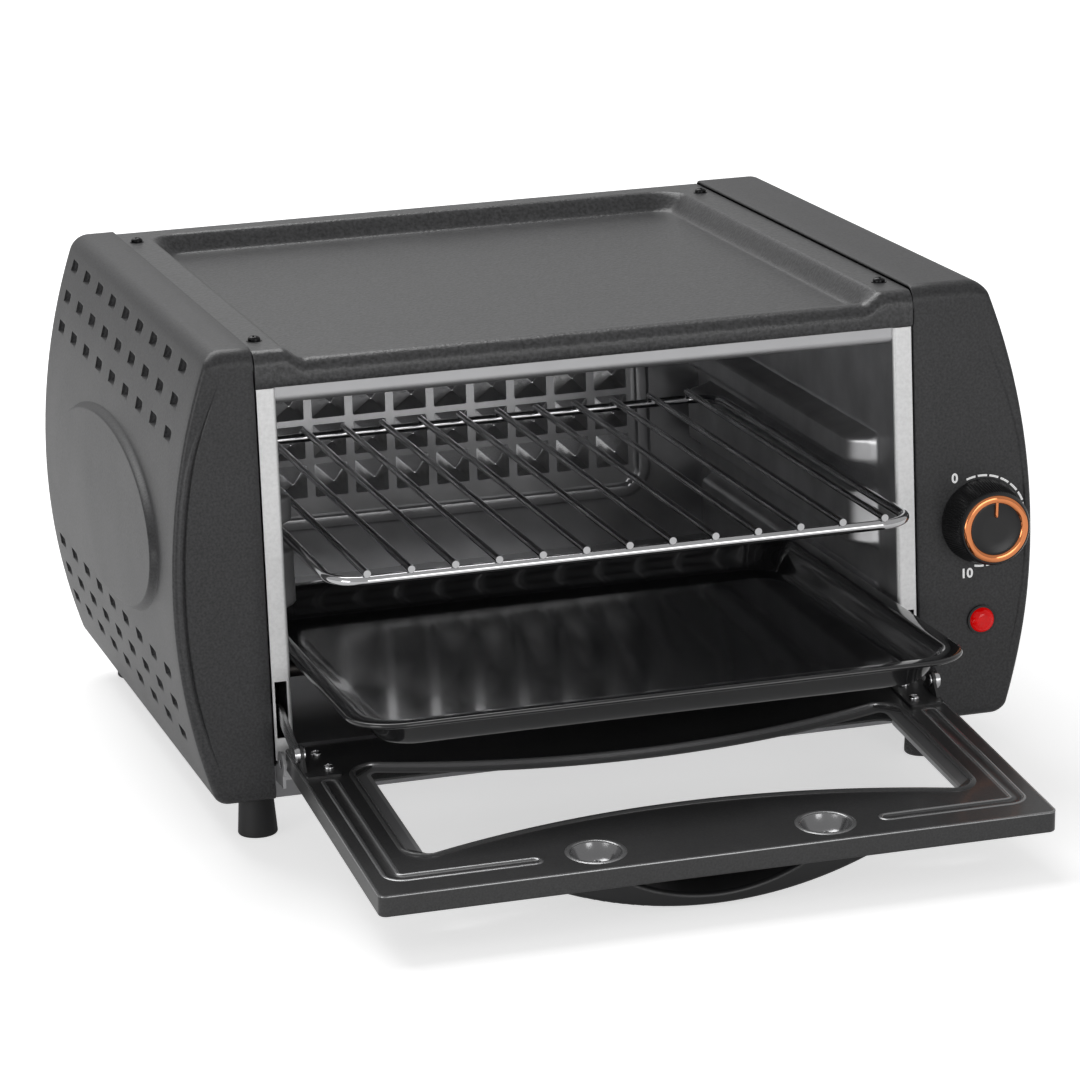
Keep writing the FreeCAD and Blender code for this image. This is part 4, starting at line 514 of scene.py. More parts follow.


# ---------------- cavity walls
# Galvanised side walls: each is one sheet, folded into the strip beside the door, with
# three pressed rails for the rack and the tray and a slot that the stay runs through.  The strip
# is drawn in a lighter copy of the same zinc: painted highlight.

CAVITY_INSET, FLANGE_WIDTH, FLANGE_FACE, FLANGE_BEND = 8.5, 7.7, 1.5, 1.4
WALL_BACK, FLANGE_BOTTOM, FLANGE_TOP, NOTCH_DEPTH = 262.0, 32.5, 181.5, 4.2
WALL_SHEET, ROOF_LEVEL = 0.72, 184.0
SLOT_LOW, SLOT_HIGH, SLOT_INSET, SLOT_WIDTH = 41.4, 64.4, 1.0, 4.9
RAILS = {"upper": (119.1, 133.9, 10.5), "middle": (85.0, 112.2, 10.5), "low": (54.5, 69.9, 5.0)}
RAIL_FRONT, RAIL_BACK, RAIL_CORNER, RAIL_FOOT, RAIL_SLOPE, RAIL_RAMP = 20, 246, 4.5, 0.6, 3.6, 15


def cavity_wall(side, edge_x, inward):
    """The sheet's line runs in over the strip, round the fold and back along the wall; a rail
    pushes it into the room by a smooth step of the distance inside the rail's outline."""
    slot = [SLOT_INSET, SLOT_INSET + SLOT_WIDTH]
    strip = np.unique(join([slot, np.linspace(0, FLANGE_WIDTH - FLANGE_BEND, 8)]))
    fold = np.radians(np.linspace(90, 0, 7))[1:]
    wall_y = join([np.arange(RAIL_FRONT - 4, RAIL_FRONT + 14, 0.8),
                   np.arange(RAIL_FRONT + 14, RAIL_BACK - 10, 6),
                   np.arange(RAIL_BACK - 10, RAIL_BACK + 3, 0.8), [WALL_BACK]])
    line_x = join([strip, FLANGE_WIDTH - FLANGE_BEND * (1 - np.cos(fold)),
                   np.full(wall_y.size, FLANGE_WIDTH)])
    line_y = join([np.full(strip.size, FLANGE_FACE),
                   FLANGE_FACE + FLANGE_BEND * (1 - np.sin(fold)), wall_y])
    line_z = np.unique(join([
        [FLANGE_BOTTOM, SLOT_LOW, SLOT_HIGH, FLANGE_TOP, ROOF_LEVEL],
        np.arange(FLANGE_BOTTOM, FLANGE_TOP, 0.9)]))
    along, z = np.meshgrid(np.arange(line_x.size), line_z)
    x, y = line_x[along], line_y[along]
    push = np.zeros_like(x)
    for low, high, rise in RAILS.values():
        inside = inside_round_rectangle(y, z, RAIL_FRONT, RAIL_BACK, low, high, RAIL_CORNER)
        push = np.maximum(push, rise * ramp(inside, -RAIL_FOOT, RAIL_SLOPE)
                          * ramp(y, RAIL_FRONT - 2, RAIL_RAMP))
    x = edge_x + inward * (CAVITY_INSET - FLANGE_WIDTH + x + push)
    middle_x = (line_x[:-1] + line_x[1:]) / 2
    middle_z = (line_z[:-1] + line_z[1:]) / 2
    in_slot = ((middle_x > slot[0]) & (middle_x < slot[1]) & (line_y[1:] < FLANGE_FACE + 0.01))
    keep = ~((in_slot[None] & ((middle_z > SLOT_LOW) & (middle_z < SLOT_HIGH))[:, None])
             | ((line_y[1:] < NOTCH_DEPTH)[None] & (middle_z > FLANGE_TOP)[:, None]))
    points = np.stack([x, y + FRONT, z], axis=-1)
    split = strip.size + fold.size - 1
    made = surface(f"{side}_liner", points[:, split:], "oven", zinc_sheet,
                   keep=keep[:, split:])
    thicken(made, WALL_SHEET, (edge_x - inward * 90, MIDDLE, BULGE_LEVEL))
    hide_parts(f"cavity_{side}_wall")
    made = surface(f"{side}_strip", points[:, :split + 1], "oven",
                   strip_painted_highlight, keep=keep[:, :split])
    thicken(made, WALL_SHEET, (edge_x, FRONT + 90, BULGE_LEVEL))


zinc_sheet = sheet_finish("zinc_sheet", (0.62, 0.62, 0.63), 0.36, metallic=0.85, grain=700,
                          depth=0.012, stretch=(1, 0.12, 1), uneven=0.16, patch=45)
# The strip is the walls' zinc in a lighter, whiter copy: painted highlight on the face towards the
# front.
strip_painted_highlight = sheet_finish("strip_painted_highlight", (0.93, 0.93, 0.93), 0.45, metallic=0.5, grain=700,
                            depth=0.01, uneven=0.03, speckle=0.05)
cavity_wall("left", OPENING_LEFT, 1)
cavity_wall("right", OPENING_RIGHT, -1)


# ---------------- back wall of the cavity
# Galvanised sheet that closes the room between walls, roof and floor: a bead is pressed round a
# field of pyramids, which stiffen it and scatter the heat.

PYRAMID_COLUMNS, PYRAMID_ROWS, PYRAMID_SIDE, PYRAMID_HEIGHT = 10, 6, 14.0, 4.5
PYRAMID_MARGIN, PYRAMID_LEVEL, PYRAMID_RISE, PYRAMID_FOOT = 42.125, 80.9, 17.9, 0.6
BEAD_MARGIN, BEAD_LOW, BEAD_WIDTH, BEAD_HEIGHT, BEAD_CORNER = 24.5, 58.4, 6.5, 1.4, 14.0
BEAD_SLOPE, PYRAMID_TIP, PYRAMID_EDGE = 1.8, 0.955, 0.9
FLOOR_LEVEL, CAVITY_BACK, BACK_SHEET = 37.5, 260.0, 0.8


def back_wall():
    """The bead is a smooth step of the distance from its middle line.  Each pyramid is a stack
    of squares with round corners, which get smaller in proportion to their height."""
    x0, x1 = OPENING_LEFT + CAVITY_INSET, OPENING_RIGHT - CAVITY_INSET
    x, z = np.meshgrid(np.linspace(x0, x1, 288), np.linspace(FLOOR_LEVEL, ROOF_LEVEL, 168))
    inside = inside_round_rectangle(x, z, x0 + BEAD_MARGIN, x1 - BEAD_MARGIN, BEAD_LOW,
                                    ROOF_LEVEL + 30, BEAD_CORNER)
    off_bead = np.abs(inside - BEAD_WIDTH / 2)
    rise = BEAD_HEIGHT * ramp(-off_bead, -BEAD_WIDTH / 2 - 0.4, BEAD_SLOPE)
    y = FRONT + CAVITY_BACK - rise
    made = surface("back_liner", np.stack([x, y, z], axis=-1), "oven",
                   pressed_zinc, smooth=20)
    thicken(made, BACK_SHEET, (0, BACK + 90, BULGE_LEVEL))
    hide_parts("cavity_back_panel")
    share = np.array([-0.01, 0.04, 0.5, 0.9, 0.94, PYRAMID_TIP, PYRAMID_TIP])[:, None]
    half = (PYRAMID_SIDE / 2 + PYRAMID_FOOT) * np.where(share < PYRAMID_TIP, 1 - share, 0.04)
    half[-1] = 0
    turn = np.add.outer(math.pi / 2 * np.arange(4), quarter(4)).ravel()
    corner = np.minimum(PYRAMID_EDGE, half)
    ring_x = (half - corner) * np.sign(np.cos(turn - 0.001)) + corner * np.cos(turn)
    ring_z = (half - corner) * np.sign(np.sin(turn + 0.001)) + corner * np.sin(turn)
    level = FRONT + CAVITY_BACK - PYRAMID_HEIGHT * share
    column = x0 + PYRAMID_MARGIN + (x1 - x0 - 2 * PYRAMID_MARGIN) * np.linspace(
        0, 1, PYRAMID_COLUMNS)
    row = PYRAMID_LEVEL + PYRAMID_RISE * np.arange(PYRAMID_ROWS)
    middle_x, middle_z = [line.reshape(-1, 1, 1) for line in np.meshgrid(column, row)]
    points = np.stack(np.broadcast_arrays(middle_x + ring_x, level, middle_z + ring_z), axis=-1)
    surface("back_pyramids", points, "oven", pyramid_painted_highlight, around=True,
            smooth=25)


pressed_zinc = sheet_finish("pressed_zinc", (0.6, 0.6, 0.61), 0.24, metallic=0.7, grain=700,
                            depth=0.012, uneven=0.12, patch=45)
# The pyramids are the back sheet's zinc in a lighter, glossier copy: painted highlight on their
# facets.
pyramid_painted_highlight = sheet_finish("pyramid_painted_highlight", (0.93, 0.93, 0.94), 0.2, metallic=0.88,
                              grain=700, depth=0.012, uneven=0.12, patch=45)
back_wall()


# ---------------- folded sheet round the cavity
# Roof, floor, header, base and rear cover stay as the CAD has them, in the same zinc sheet; the
# header above the opening is brushed along its length.

brushed_zinc = sheet_finish("brushed_zinc", (0.5, 0.5, 0.51), 0.42, metallic=0.85, grain=900,
                            depth=0.01, stretch=(0.05, 1, 1), uneven=0.06)
dull_zinc = sheet_finish("dull_zinc", (0.34, 0.34, 0.35), 0.4, metallic=0.9, grain=600,
                         depth=0.01, uneven=0.07, patch=90)
dress(brushed_zinc, "header_rail")
dress(dull_zinc, "cavity_roof", "cavity_floor", "base_plate", "rear_cover")
dress(zinc_sheet, "hinge_lug_left", "hinge_lug_right")


# ---------------- feet and grommet
# Tapered moulded feet under the base plate and the lead's grommet in the rear cover, in black
# rubber with a faint bloom.

black_rubber = sheet_finish("black_rubber", (0.022, 0.022, 0.023), 0.6, grain=1800, depth=0.02)
dress(black_rubber, "foot_front_left", "foot_front_right", "foot_back_left", "foot_back_right",
      "cord_grommet")


# ---------------- heaters
# Four sheathed rods, two above and two below, dull from heat, each held at its ends in the side
# walls by a white ceramic bush.

burnt_sheath = sheet_finish("burnt_sheath", (0.14, 0.13, 0.125), 0.42, metallic=0.8, grain=900,
                            depth=0.01, uneven=0.25, patch=25)
white_ceramic = sheet_finish("white_ceramic", (0.8, 0.79, 0.75), 0.55, grain=1600, depth=0.02)
for level in ("upper", "lower"):
    for end in ("front", "back"):
        dress(burnt_sheath, f"heating_element_{level}_{end}")
        dress(white_ceramic, *[f"ceramic_bush_{level}_{end}_{side}" for side in ("left", "right")])


# ---------------- door
# Two pressed steel frames folded round the glass, stove-enamelled black and slightly grained.
# The inner one carries a raised lip round the window, an L-shaped groove on each side and two
# cups for the handle's screws.

door_enamel = sheet_finish("door_enamel", (0.045, 0.045, 0.046), 0.32, grain=1300, depth=0.03,
                           uneven=0.06, coat=0.2, speckle=0.25)
# The window's lip, the grooves' edges, the door's edge and the cups' rims are the door's black
# enamel drawn in a lighter grey metal: painted highlight along their ridges.
enamel_painted_highlight = sheet_finish("enamel_painted_highlight", (0.34, 0.34, 0.345), 0.24, metallic=0.6, grain=1300,
                           depth=0.015, coat=0.3)
dress(door_enamel, "door_inner_panel", "door_outer_panel")

DROOP = math.radians(5.5)
HINGE_EDGE = (-66.945, 38.612)
OPENING_WIDTH = OPENING_RIGHT - OPENING_LEFT


def on_door(x, far, lift):
    """Points of the flat door in the row frame: x from the left panel, far from the hinge edge
    and lift above the inner face, tipped by the droop about the hinge edge."""
    y = HINGE_EDGE[0] - far * math.cos(DROOP) - lift * math.sin(DROOP)
    z = HINGE_EDGE[1] - far * math.sin(DROOP) + lift * math.cos(DROOP)
    return np.stack(np.broadcast_arrays(OPENING_LEFT + x, y, z), axis=-1)


WINDOW_SIDE, WINDOW_NEAR, WINDOW_NEAR_MIDDLE = 23.0, 27.0, 45.0
WINDOW_FAR, WINDOW_FAR_MIDDLE, WINDOW_CORNER = 119.0, 100.0, 9.0


def window_path(inset, far_inset=None):
    """Closed line inside the window's edge by inset: two straight sides with round corners and
    two long sides that bow inwards as parabolas; returns x and far."""
    far_inset = inset if far_inset is None else far_inset
    left, right = WINDOW_SIDE + inset, OPENING_WIDTH - WINDOW_SIDE - inset
    corner = max(WINDOW_CORNER - inset, 1.5)
    middle, half = (left + right) / 2, (right - left) / 2 - corner
    turn = quarter(9)
    out, back = corner * (1 - np.cos(turn)), corner * (1 - np.sin(turn))
    run = np.linspace(-1, 1, 61)[1:-1]
    near_bow = (WINDOW_NEAR_MIDDLE - WINDOW_NEAR) * (1 - run ** 2)
    far_bow = (WINDOW_FAR - WINDOW_FAR_MIDDLE) * (1 - run ** 2)
    near, far = WINDOW_NEAR + inset, WINDOW_FAR - far_inset
    x = join([left + out, middle + half * run, right - back, right - out, middle - half * run,
              left + back])
    y = join([near + back, near + near_bow, near + out, far - back, far - far_bow, far - out])
    return x, y


def along_path(x, y, profile):
    """Grid of a profile (sideways, up) carried along a closed line: sideways is to the line's
    left, square to its local direction."""
    ahead_x, ahead_y = np.roll(x, -1) - np.roll(x, 1), np.roll(y, -1) - np.roll(y, 1)
    length = np.hypot(ahead_x, ahead_y)
    side_x, side_y = -ahead_y / length, ahead_x / length
    sideways, up = np.array(profile, float).T
    grid_x = x[:, None] + side_x[:, None] * sideways
    grid_y = y[:, None] + side_y[:, None] * sideways
    return grid_x, grid_y, np.broadcast_to(up, grid_x.shape)


def pressing(points, split, inner, outer, smooth=40):
    """Two closed pieces of one grid on the door, parted at a column; each is (name, finish)."""
    for (name, finish), part in ((inner, points[:, :split + 1]), (outer, points[:, split:])):
        surface(name, part, "door", finish, along=True, smooth=smooth)


LIP_PROFILE = [(0.15, -0.85), (0.15, 0.45), (-0.15, 0.8), (-0.7, 0.95), (-1.4, 0.85), (-2.0, 0.4),
               (-2.3, 0.02), (-2.3, -0.2)]
pressing(on_door(*along_path(*window_path(0.0), LIP_PROFILE)), 3,
         ("window_lip", enamel_painted_highlight), ("window_shoulder", door_enamel))


def round_rectangle(x0, x1, y0, y1, corner, steps):
    """Closed line of a rectangle with round corners: each corner's middle plus its radius times
    the cosine and sine of a quarter turn."""
    turn = np.add.outer(math.pi / 2 * np.arange(4), quarter(steps))
    inner_x = np.array([x1 - corner, x0 + corner, x0 + corner, x1 - corner])[:, None]
    inner_y = np.array([y1 - corner, y1 - corner, y0 + corner, y0 + corner])[:, None]
    return ((inner_x + corner * np.cos(turn)).ravel(), (inner_y + corner * np.sin(turn)).ravel())


DOOR_GAP, DOOR_LENGTH, DOOR_CORNER = 3.1, 151.0, 3.0
EDGE_PROFILE = [(-0.1, -0.5), (-0.06, -0.14), (0.1, 0.03), (0.5, 0.06), (0.9, 0.01), (1.2, -0.08)]
door_line = round_rectangle(DOOR_GAP, OPENING_WIDTH - DOOR_GAP, 0, DOOR_LENGTH, DOOR_CORNER, 8)
surface("door_edge", on_door(*along_path(*door_line, EDGE_PROFILE)), "door",
        enamel_painted_highlight, along=True)

GROOVE_SIDE, GROOVE_NEAR, GROOVE_FAR, GROOVE_REACH = 9.9, 37.0, 138.3, 68.0
GROOVE_WIDTH, GROOVE_CORNER = 4.6, 7.0
GROOVE_PROFILE = [(-2.25, -0.42), (-1.6, -0.4), (-0.9, -0.28), (-0.4, -0.05), (0.0, 0.16),
                  (0.5, 0.24), (1.0, 0.12), (1.4, -0.06)]


def groove_outline(side):
    """Line round an L-shaped groove: out along its middle line on one side, half a circle, back
    on the other side and half a circle; its profile (outward, up) is square to it."""
    half = GROOVE_WIDTH / 2
    bend = GROOVE_CORNER - half
    x0, far = GROOVE_SIDE + half, GROOVE_FAR - half
    turn = quarter(10)
    x = join([[x0, x0], x0 + bend * (1 - np.cos(turn)), [GROOVE_REACH - half]])
    y = join([[GROOVE_NEAR + half, far - bend - 2], far - bend + bend * np.sin(turn), [far]])
    angle = join([[math.pi, math.pi], math.pi - turn, [math.pi / 2]])
    cap = np.radians(np.linspace(0, 180, 13))[1:-1]
    centre_x = join([x, np.full(cap.size, x[-1]), x[::-1], np.full(cap.size, x[0])])
    centre_y = join([y, np.full(cap.size, y[-1]), y[::-1], np.full(cap.size, y[0])])
    angle = join([angle, math.pi / 2 - cap, angle[::-1] - math.pi, -cap])
    outward, up = np.array(GROOVE_PROFILE).T
    grid_x = centre_x[:, None] + np.cos(angle)[:, None] * (half + outward)
    grid_y = centre_y[:, None] + np.sin(angle)[:, None] * (half + outward)
    grid_x = grid_x if side == "left" else OPENING_WIDTH - grid_x
    return on_door(grid_x, grid_y, np.broadcast_to(up, grid_x.shape))


for side in ("left", "right"):
    pressing(groove_outline(side), 3, ("groove_bed_" + side, door_enamel),
             ("groove_edge_" + side, enamel_painted_highlight))


# ---------------- glass
# Toughened pane between the door's frames, with a grey band printed round its edge, held from
# behind by two spring strips.

pane = bpy.data.materials.new("toughened_glass")
pane.use_nodes = True
node(pane.node_tree, "Principled BSDF", {
    "Base Color": (0.86, 0.88, 0.88, 1), "Roughness": 0.03, "Alpha": 0.06, "IOR": 1.5})
dress(pane, "door_glass")
dress(zinc_sheet, "glass_clip_left", "glass_clip_right")
PRINT_WIDTH, PRINT_STEP, PRINT_LEVEL = 4.6, 1.6, -0.86
printed_band = sheet_finish("printed_band", (0.2, 0.2, 0.205), 0.5, grain=1500, depth=0.004)
pale_band = sheet_finish("pale_band", (0.33, 0.33, 0.335), 0.5, grain=1500, depth=0.004)
for name, start, end, finish in (
        ("glass_print", 0.1, PRINT_WIDTH, printed_band),
        ("glass_print_edge", PRINT_WIDTH, PRINT_WIDTH + PRINT_STEP, pale_band)):
    band_x, band_y = np.stack([window_path(start, 0.1), window_path(end, 0.3)], axis=-1)
    surface(name, on_door(band_x, band_y, PRINT_LEVEL), "door", finish,
            along=True)


# ---------------- door furniture
# Moulded bow handle under the door's free end, screwed through the cups; enamelled brackets
# and zinc stays and pins at the hinge side.

satin_plastic = sheet_finish("satin_plastic", (0.016, 0.016, 0.017), 0.33, grain=1400,
                             depth=0.012)
dress(satin_plastic, "door_handle")
bright_zinc = sheet_finish("bright_zinc", (0.62, 0.62, 0.63), 0.22, metallic=1.0, grain=900,
                           depth=0.008, uneven=0.1)
for side in ("left", "right"):
    dress(bright_zinc, f"door_stay_{side}", f"hinge_pin_{side}")
    dress(door_enamel, f"stay_bracket_{side}")

HANDLE_SCREW_X, HANDLE_SCREW_FAR, CUP_DEPTH = 45.0, 134.5, 6.0
door_up = on_door(0, 0, 1) - on_door(0, 0, 0)
# The cups are pressed in the door's black enamel sheet; their light grey metal is painted reflection
# and sheen.
cup_painted_sheen = sheet_finish("cup_painted_sheen", (0.3, 0.3, 0.305), 0.2, metallic=0.75, grain=900,
                          depth=0.02)
CUP_PROFILE = [(0.0, -5.9), (3.4, -5.9), (5.2, -5.5), (6.8, -4.4), (8.1, -2.7), (8.9, -1.2),
               (9.3, -0.3), (9.8, 0.14), (10.4, 0.28), (11.2, 0.12), (11.9, -0.06)]
cup_turn = full_turn(72)
cup_radius, cup_up = np.array(CUP_PROFILE).T
for side, sign in (("left", -1), ("right", 1)):
    cup_x = OPENING_WIDTH / 2 + sign * HANDLE_SCREW_X
    cup = on_door(cup_x + np.multiply.outer(np.cos(cup_turn), cup_radius),
                  HANDLE_SCREW_FAR + np.multiply.outer(np.sin(cup_turn), cup_radius), cup_up)
    pressing(cup, 6, ("handle_cup_" + side, cup_painted_sheen), ("handle_cup_rim_" + side, enamel_painted_highlight),
             smooth=60)
    screw_head(f"handle_screw_{side}", on_door(cup_x, HANDLE_SCREW_FAR, -CUP_DEPTH), door_up,
               (1, 0, 0), 3.0, 2.0, "door", bright_zinc)

BRACKET_SCREWS = ((13.0, 12.5), (14.5, 27.5))
for side in ("left", "right"):
    for number, (x, far) in enumerate(BRACKET_SCREWS, start=1):
        x = x if side == "left" else OPENING_WIDTH - x
        screw_head(f"bracket_screw_{number}_{side}", on_door(x, far, 1), door_up, (1, 0, 0),
                   2.1, 1.5, "door", bright_zinc)


# ---------------- rack
# Chromed steel wire: a closed frame with thirteen rods welded on top, each ground round at its
# front and rear end.

chrome = sheet_finish("chrome", (0.62, 0.62, 0.63), 0.09, metallic=1.0, grain=400, depth=0.003,
                      uneven=0.05)
dress(chrome, "wire_rack")


# ---------------- baking tray
# Pressed steel tray in black vitreous enamel, its rim rolled under all round; it slides on the
# lowest rails.

enamel_black = sheet_finish("enamel_black", (0.014, 0.014, 0.015), 0.11, grain=60, depth=0.04,
                            uneven=0.1, coat=0.6)
tray_low, tray_high = [[number / MM for number in corner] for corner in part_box("baking_tray")]
TRAY_RIM, TRAY_SLOPE, TRAY_CORNER, TRAY_DEPTH, TRAY_SHEET = 4.0, 12.0, 20.0, 12.0, 0.8
ROLL_WIDTH, ROLL_HEIGHT = 1.3, 1.1


def tray():
    """Rings of the tray's outline, one per point of its section (inset, level): rolled edge,
    flat rim, round shoulder, sloped wall, round foot and floor; the floor closes the last."""
    level = tray_high[2]
    roll = np.radians(np.linspace(-150, 90, 12))
    wall = np.linspace(0, 1, 15)
    insets = join([ROLL_WIDTH * (1 - np.cos(roll)), TRAY_RIM + TRAY_SLOPE * (0.12 + 0.88 * wall)])
    heights = level - join([ROLL_HEIGHT * (1 - np.sin(roll)), TRAY_DEPTH * smooth_step(wall)])
    rings = [round_rectangle(tray_low[0] + inset, tray_high[0] - inset, tray_low[1] + inset,
                             tray_high[1] - inset, TRAY_CORNER - inset * 0.5, 12)
             for inset in insets]
    points = np.array([[x, y, np.full(x.size, height)]
                       for (x, y), height in zip(rings, heights)]).transpose(0, 2, 1)
    made = surface("tray_pressing", points, "tray", enamel_black, around=True,
                   capped=True, smooth=60)
    thicken(made, TRAY_SHEET, (0, (tray_low[1] + tray_high[1]) / 2, level - 100))
    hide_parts("baking_tray")


tray()


# ---------------- knob
# Turned black knob with a finely knurled skirt, a copper-coloured metal ring let into its face
# and a bar of the same metal as the pointer.

KNOB_X, KNOB_Z, KNOB_RADIUS, KNOB_DEPTH, KNOB_GAP = 27.9, 98.7, 17.5, 15.0, 0.6
KNURLS, KNURL_DEPTH, SKIRT_TAPER, RING_OUTER, RING_INNER = 90, 0.28, 2.4, 13.9, 10.6
SHOULDER_START, SHOULDER_SLOPE, RING_SINK, RING_LOW, RING_RISE = 0.9, 8, 0.8, 0.3, 1.1
KNOB_CENTER = np.array([OPENING_RIGHT + KNOB_X, FRONT + FACE_SINK - KNOB_GAP, KNOB_Z])


def turned(center, radius, height, steps):
    """Grid of a profile turned about -Y: x and z are the radius times cosine and sine."""
    radius, height, angle = np.broadcast_arrays(
        radius.reshape(height.size, -1), height[:, None], full_turn(steps))
    return center + np.stack([radius * np.cos(angle), -height, radius * np.sin(angle)], axis=-1)


def knob():
    """Skirt radius falls evenly from foot to shoulder and waves by the knurls, whose depth dies
    out at both ends; the face is dished inside the ring."""
    steps = KNURLS * 6
    angle = full_turn(steps)
    share = join([[0, 0.02], np.linspace(0.06, 0.9, 12), [0.94, 0.97, 0.99, 1.0]])
    shoulder = SHOULDER_SLOPE * np.maximum(share - SHOULDER_START, 0)
    skirt = KNOB_RADIUS - SKIRT_TAPER * share - shoulder
    live = smooth_step(share / 0.06) * smooth_step((0.94 - share) / 0.05)
    wave = -KNURL_DEPTH * live[:, None] * (0.5 - 0.5 * np.cos(KNURLS * angle))
    face_r = np.array([RING_OUTER, RING_OUTER, RING_INNER, RING_INNER, RING_INNER - 0.3,
                       RING_INNER - 0.9, 5.0, 0.0])
    face_h = KNOB_DEPTH - np.array([0, RING_SINK, RING_SINK, 0.05, 0, 0.35, 0.45, 0.45])
    radius = join([np.zeros((1, steps)), skirt[:, None] + wave,
                   np.tile(face_r[:, None], (1, steps))])
    height = join([[0.0], share * KNOB_DEPTH, face_h])
    made = surface("knob_grip", turned(KNOB_CENTER, radius, height, steps), "knob",
                   satin_plastic, around=True, smooth=35)
    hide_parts("knob_body")


knob()
copper = sheet_finish("copper", (0.95, 0.33, 0.13), 0.07, metallic=1.0, grain=900, depth=0.004,
                      uneven=0.06)
ring_turn = np.radians(np.linspace(0, 180, 13))
ring_middle, ring_half = (RING_OUTER + RING_INNER) / 2, (RING_OUTER - RING_INNER) / 2
ring_radius = join([ring_middle + ring_half * np.cos(ring_turn),
                    [RING_INNER, RING_OUTER, RING_OUTER]])
ring_height = KNOB_DEPTH - join([RING_LOW - RING_RISE * np.sin(ring_turn),
                                 [RING_SINK, RING_SINK, RING_LOW]])
ring = surface("knob_trim", turned(KNOB_CENTER, ring_radius, ring_height, 120), "knob",
               copper, around=True)
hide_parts("knob_ring")

POINTER_LENGTH, POINTER_WIDTH, POINTER_TURN = 6.6, 1.7, math.radians(3)
POINTER_TIP, POINTER_LAP, POINTER_SINK, POINTER_RISE = 0.12, 0.6, 0.5, 0.35


def pointer():
    """Half-round bar along a radius: across it the height is a cosine, and its inner end is
    drawn in as a quarter circle."""
    along = join([[0.0, 0.02, 0.06], np.linspace(POINTER_TIP, 1, 10)])
    across = np.radians(np.linspace(-90, 90, 13))
    short = np.maximum(1 - along / POINTER_TIP, 0)
    width = POINTER_WIDTH / 2 * np.sqrt(1 - short ** 2)
    reach = RING_INNER + POINTER_LAP - POINTER_LENGTH * (1 - along)
    side = width[:, None] * np.sin(across)
    lift = KNOB_DEPTH - POINTER_SINK + (POINTER_RISE + width[:, None]) * np.cos(across)
    radial = np.tile(reach[:, None], (1, across.size))
    x = radial * math.sin(POINTER_TURN) + side * math.cos(POINTER_TURN)
    z = radial * math.cos(POINTER_TURN) - side * math.sin(POINTER_TURN)
    return KNOB_CENTER + np.stack([x, -lift, z], axis=-1)


surface("knob_pointer", pointer(), "knob", copper)


# ---------------- dial
# Screen-printed white marks on the right housing's sunk front face: a dashed arc round the knob,
# with plain numbers at its ends.

# The white ink glows faintly: painted brightness on print that gives no light of its own.
white_ink_painted_glow = sheet_finish("white_ink_painted_glow", (0.95, 0.95, 0.95), 0.5, grain=1500, depth=0.003, glow=0.3)
DIAL_RADIUS, DIAL_WIDTH, DIAL_START, DIAL_END, DASHES, DASH_SHARE = 18.85, 0.85, -20, 191, 14, 0.8
INK_LIFT, NUMBER_SIZE, NUMBER_WEIGHT = 0.04, 5.4, 0.16
dash_pitch = (DIAL_END - DIAL_START) / (DASHES - 1 + DASH_SHARE)
dash_start = DIAL_START + dash_pitch * np.arange(DASHES)
turn = np.radians(dash_start[:, None, None]
                  + dash_pitch * DASH_SHARE * np.linspace(0, 1, 7)[None, :, None])
reach = DIAL_RADIUS + DIAL_WIDTH * np.array([-0.5, 0.5])[None, None, :]
face_y = FRONT + FACE_SINK - INK_LIFT
dash_x = OPENING_RIGHT + KNOB_X + reach * np.sin(turn)
dash_z = KNOB_Z + reach * np.cos(turn)
surface("dial_dashes", np.stack([dash_x, np.full_like(dash_x, face_y), dash_z], axis=-1), "oven",
        white_ink_painted_glow)

for text, x, z in (("0", -11.5, 18.6), ("10", -7.0, -21.5)):
    letters = bpy.data.curves.new("dial_number_" + text, "FONT")
    letters.body = text
    letters.size = NUMBER_SIZE * MM
    letters.offset = NUMBER_WEIGHT * MM
    letters.align_x = "CENTER"
    letters.align_y = "CENTER"
    holder = bpy.data.objects.new("letters", letters)
    bpy.context.collection.objects.link(holder)
    bpy.context.view_layer.update()
    mesh = bpy.data.meshes.new_from_object(holder)
    bpy.data.objects.remove(holder)
    flat = np.empty(len(mesh.vertices) * 3)
    mesh.vertices.foreach_get("co", flat)
    flat = flat.reshape(-1, 3)
    placed = np.stack([flat[:, 0] + (OPENING_RIGHT + KNOB_X + x) * MM,
                       np.full(len(flat), face_y * MM), flat[:, 1] + (KNOB_Z + z) * MM], axis=-1)
    mesh.vertices.foreach_set("co", placed.ravel())
    mesh.materials.clear()
    piece("dial_number_" + text, mesh, "oven", white_ink_painted_glow)


# ---------------- lamp
# Red indicator: a domed translucent lens in a black bezel, let into the right housing.  The
# thermostat that the knob turns sits behind the same face, in bright zinc.

red_lens = sheet_finish("red_lens", (0.6, 0.002, 0.003), 0.15, grain=500, depth=0.01, coat=0.2,
                        uneven=0.25, patch=300, specular=0.3, glow=0.3, glow_colour=(1, 0, 0))
dress(red_lens, "lamp_lens")
dress(satin_plastic, "lamp_bezel")
dress(bright_zinc, "thermostat_shaft", "thermostat_body")


# ---------------- floor, light and camera
# Pale floor, which glows more towards its far edge, and a white surround; one large soft lamp
# above and behind, which leaves the roundings at the front dark, a low one on the left and a
# weak one in front.

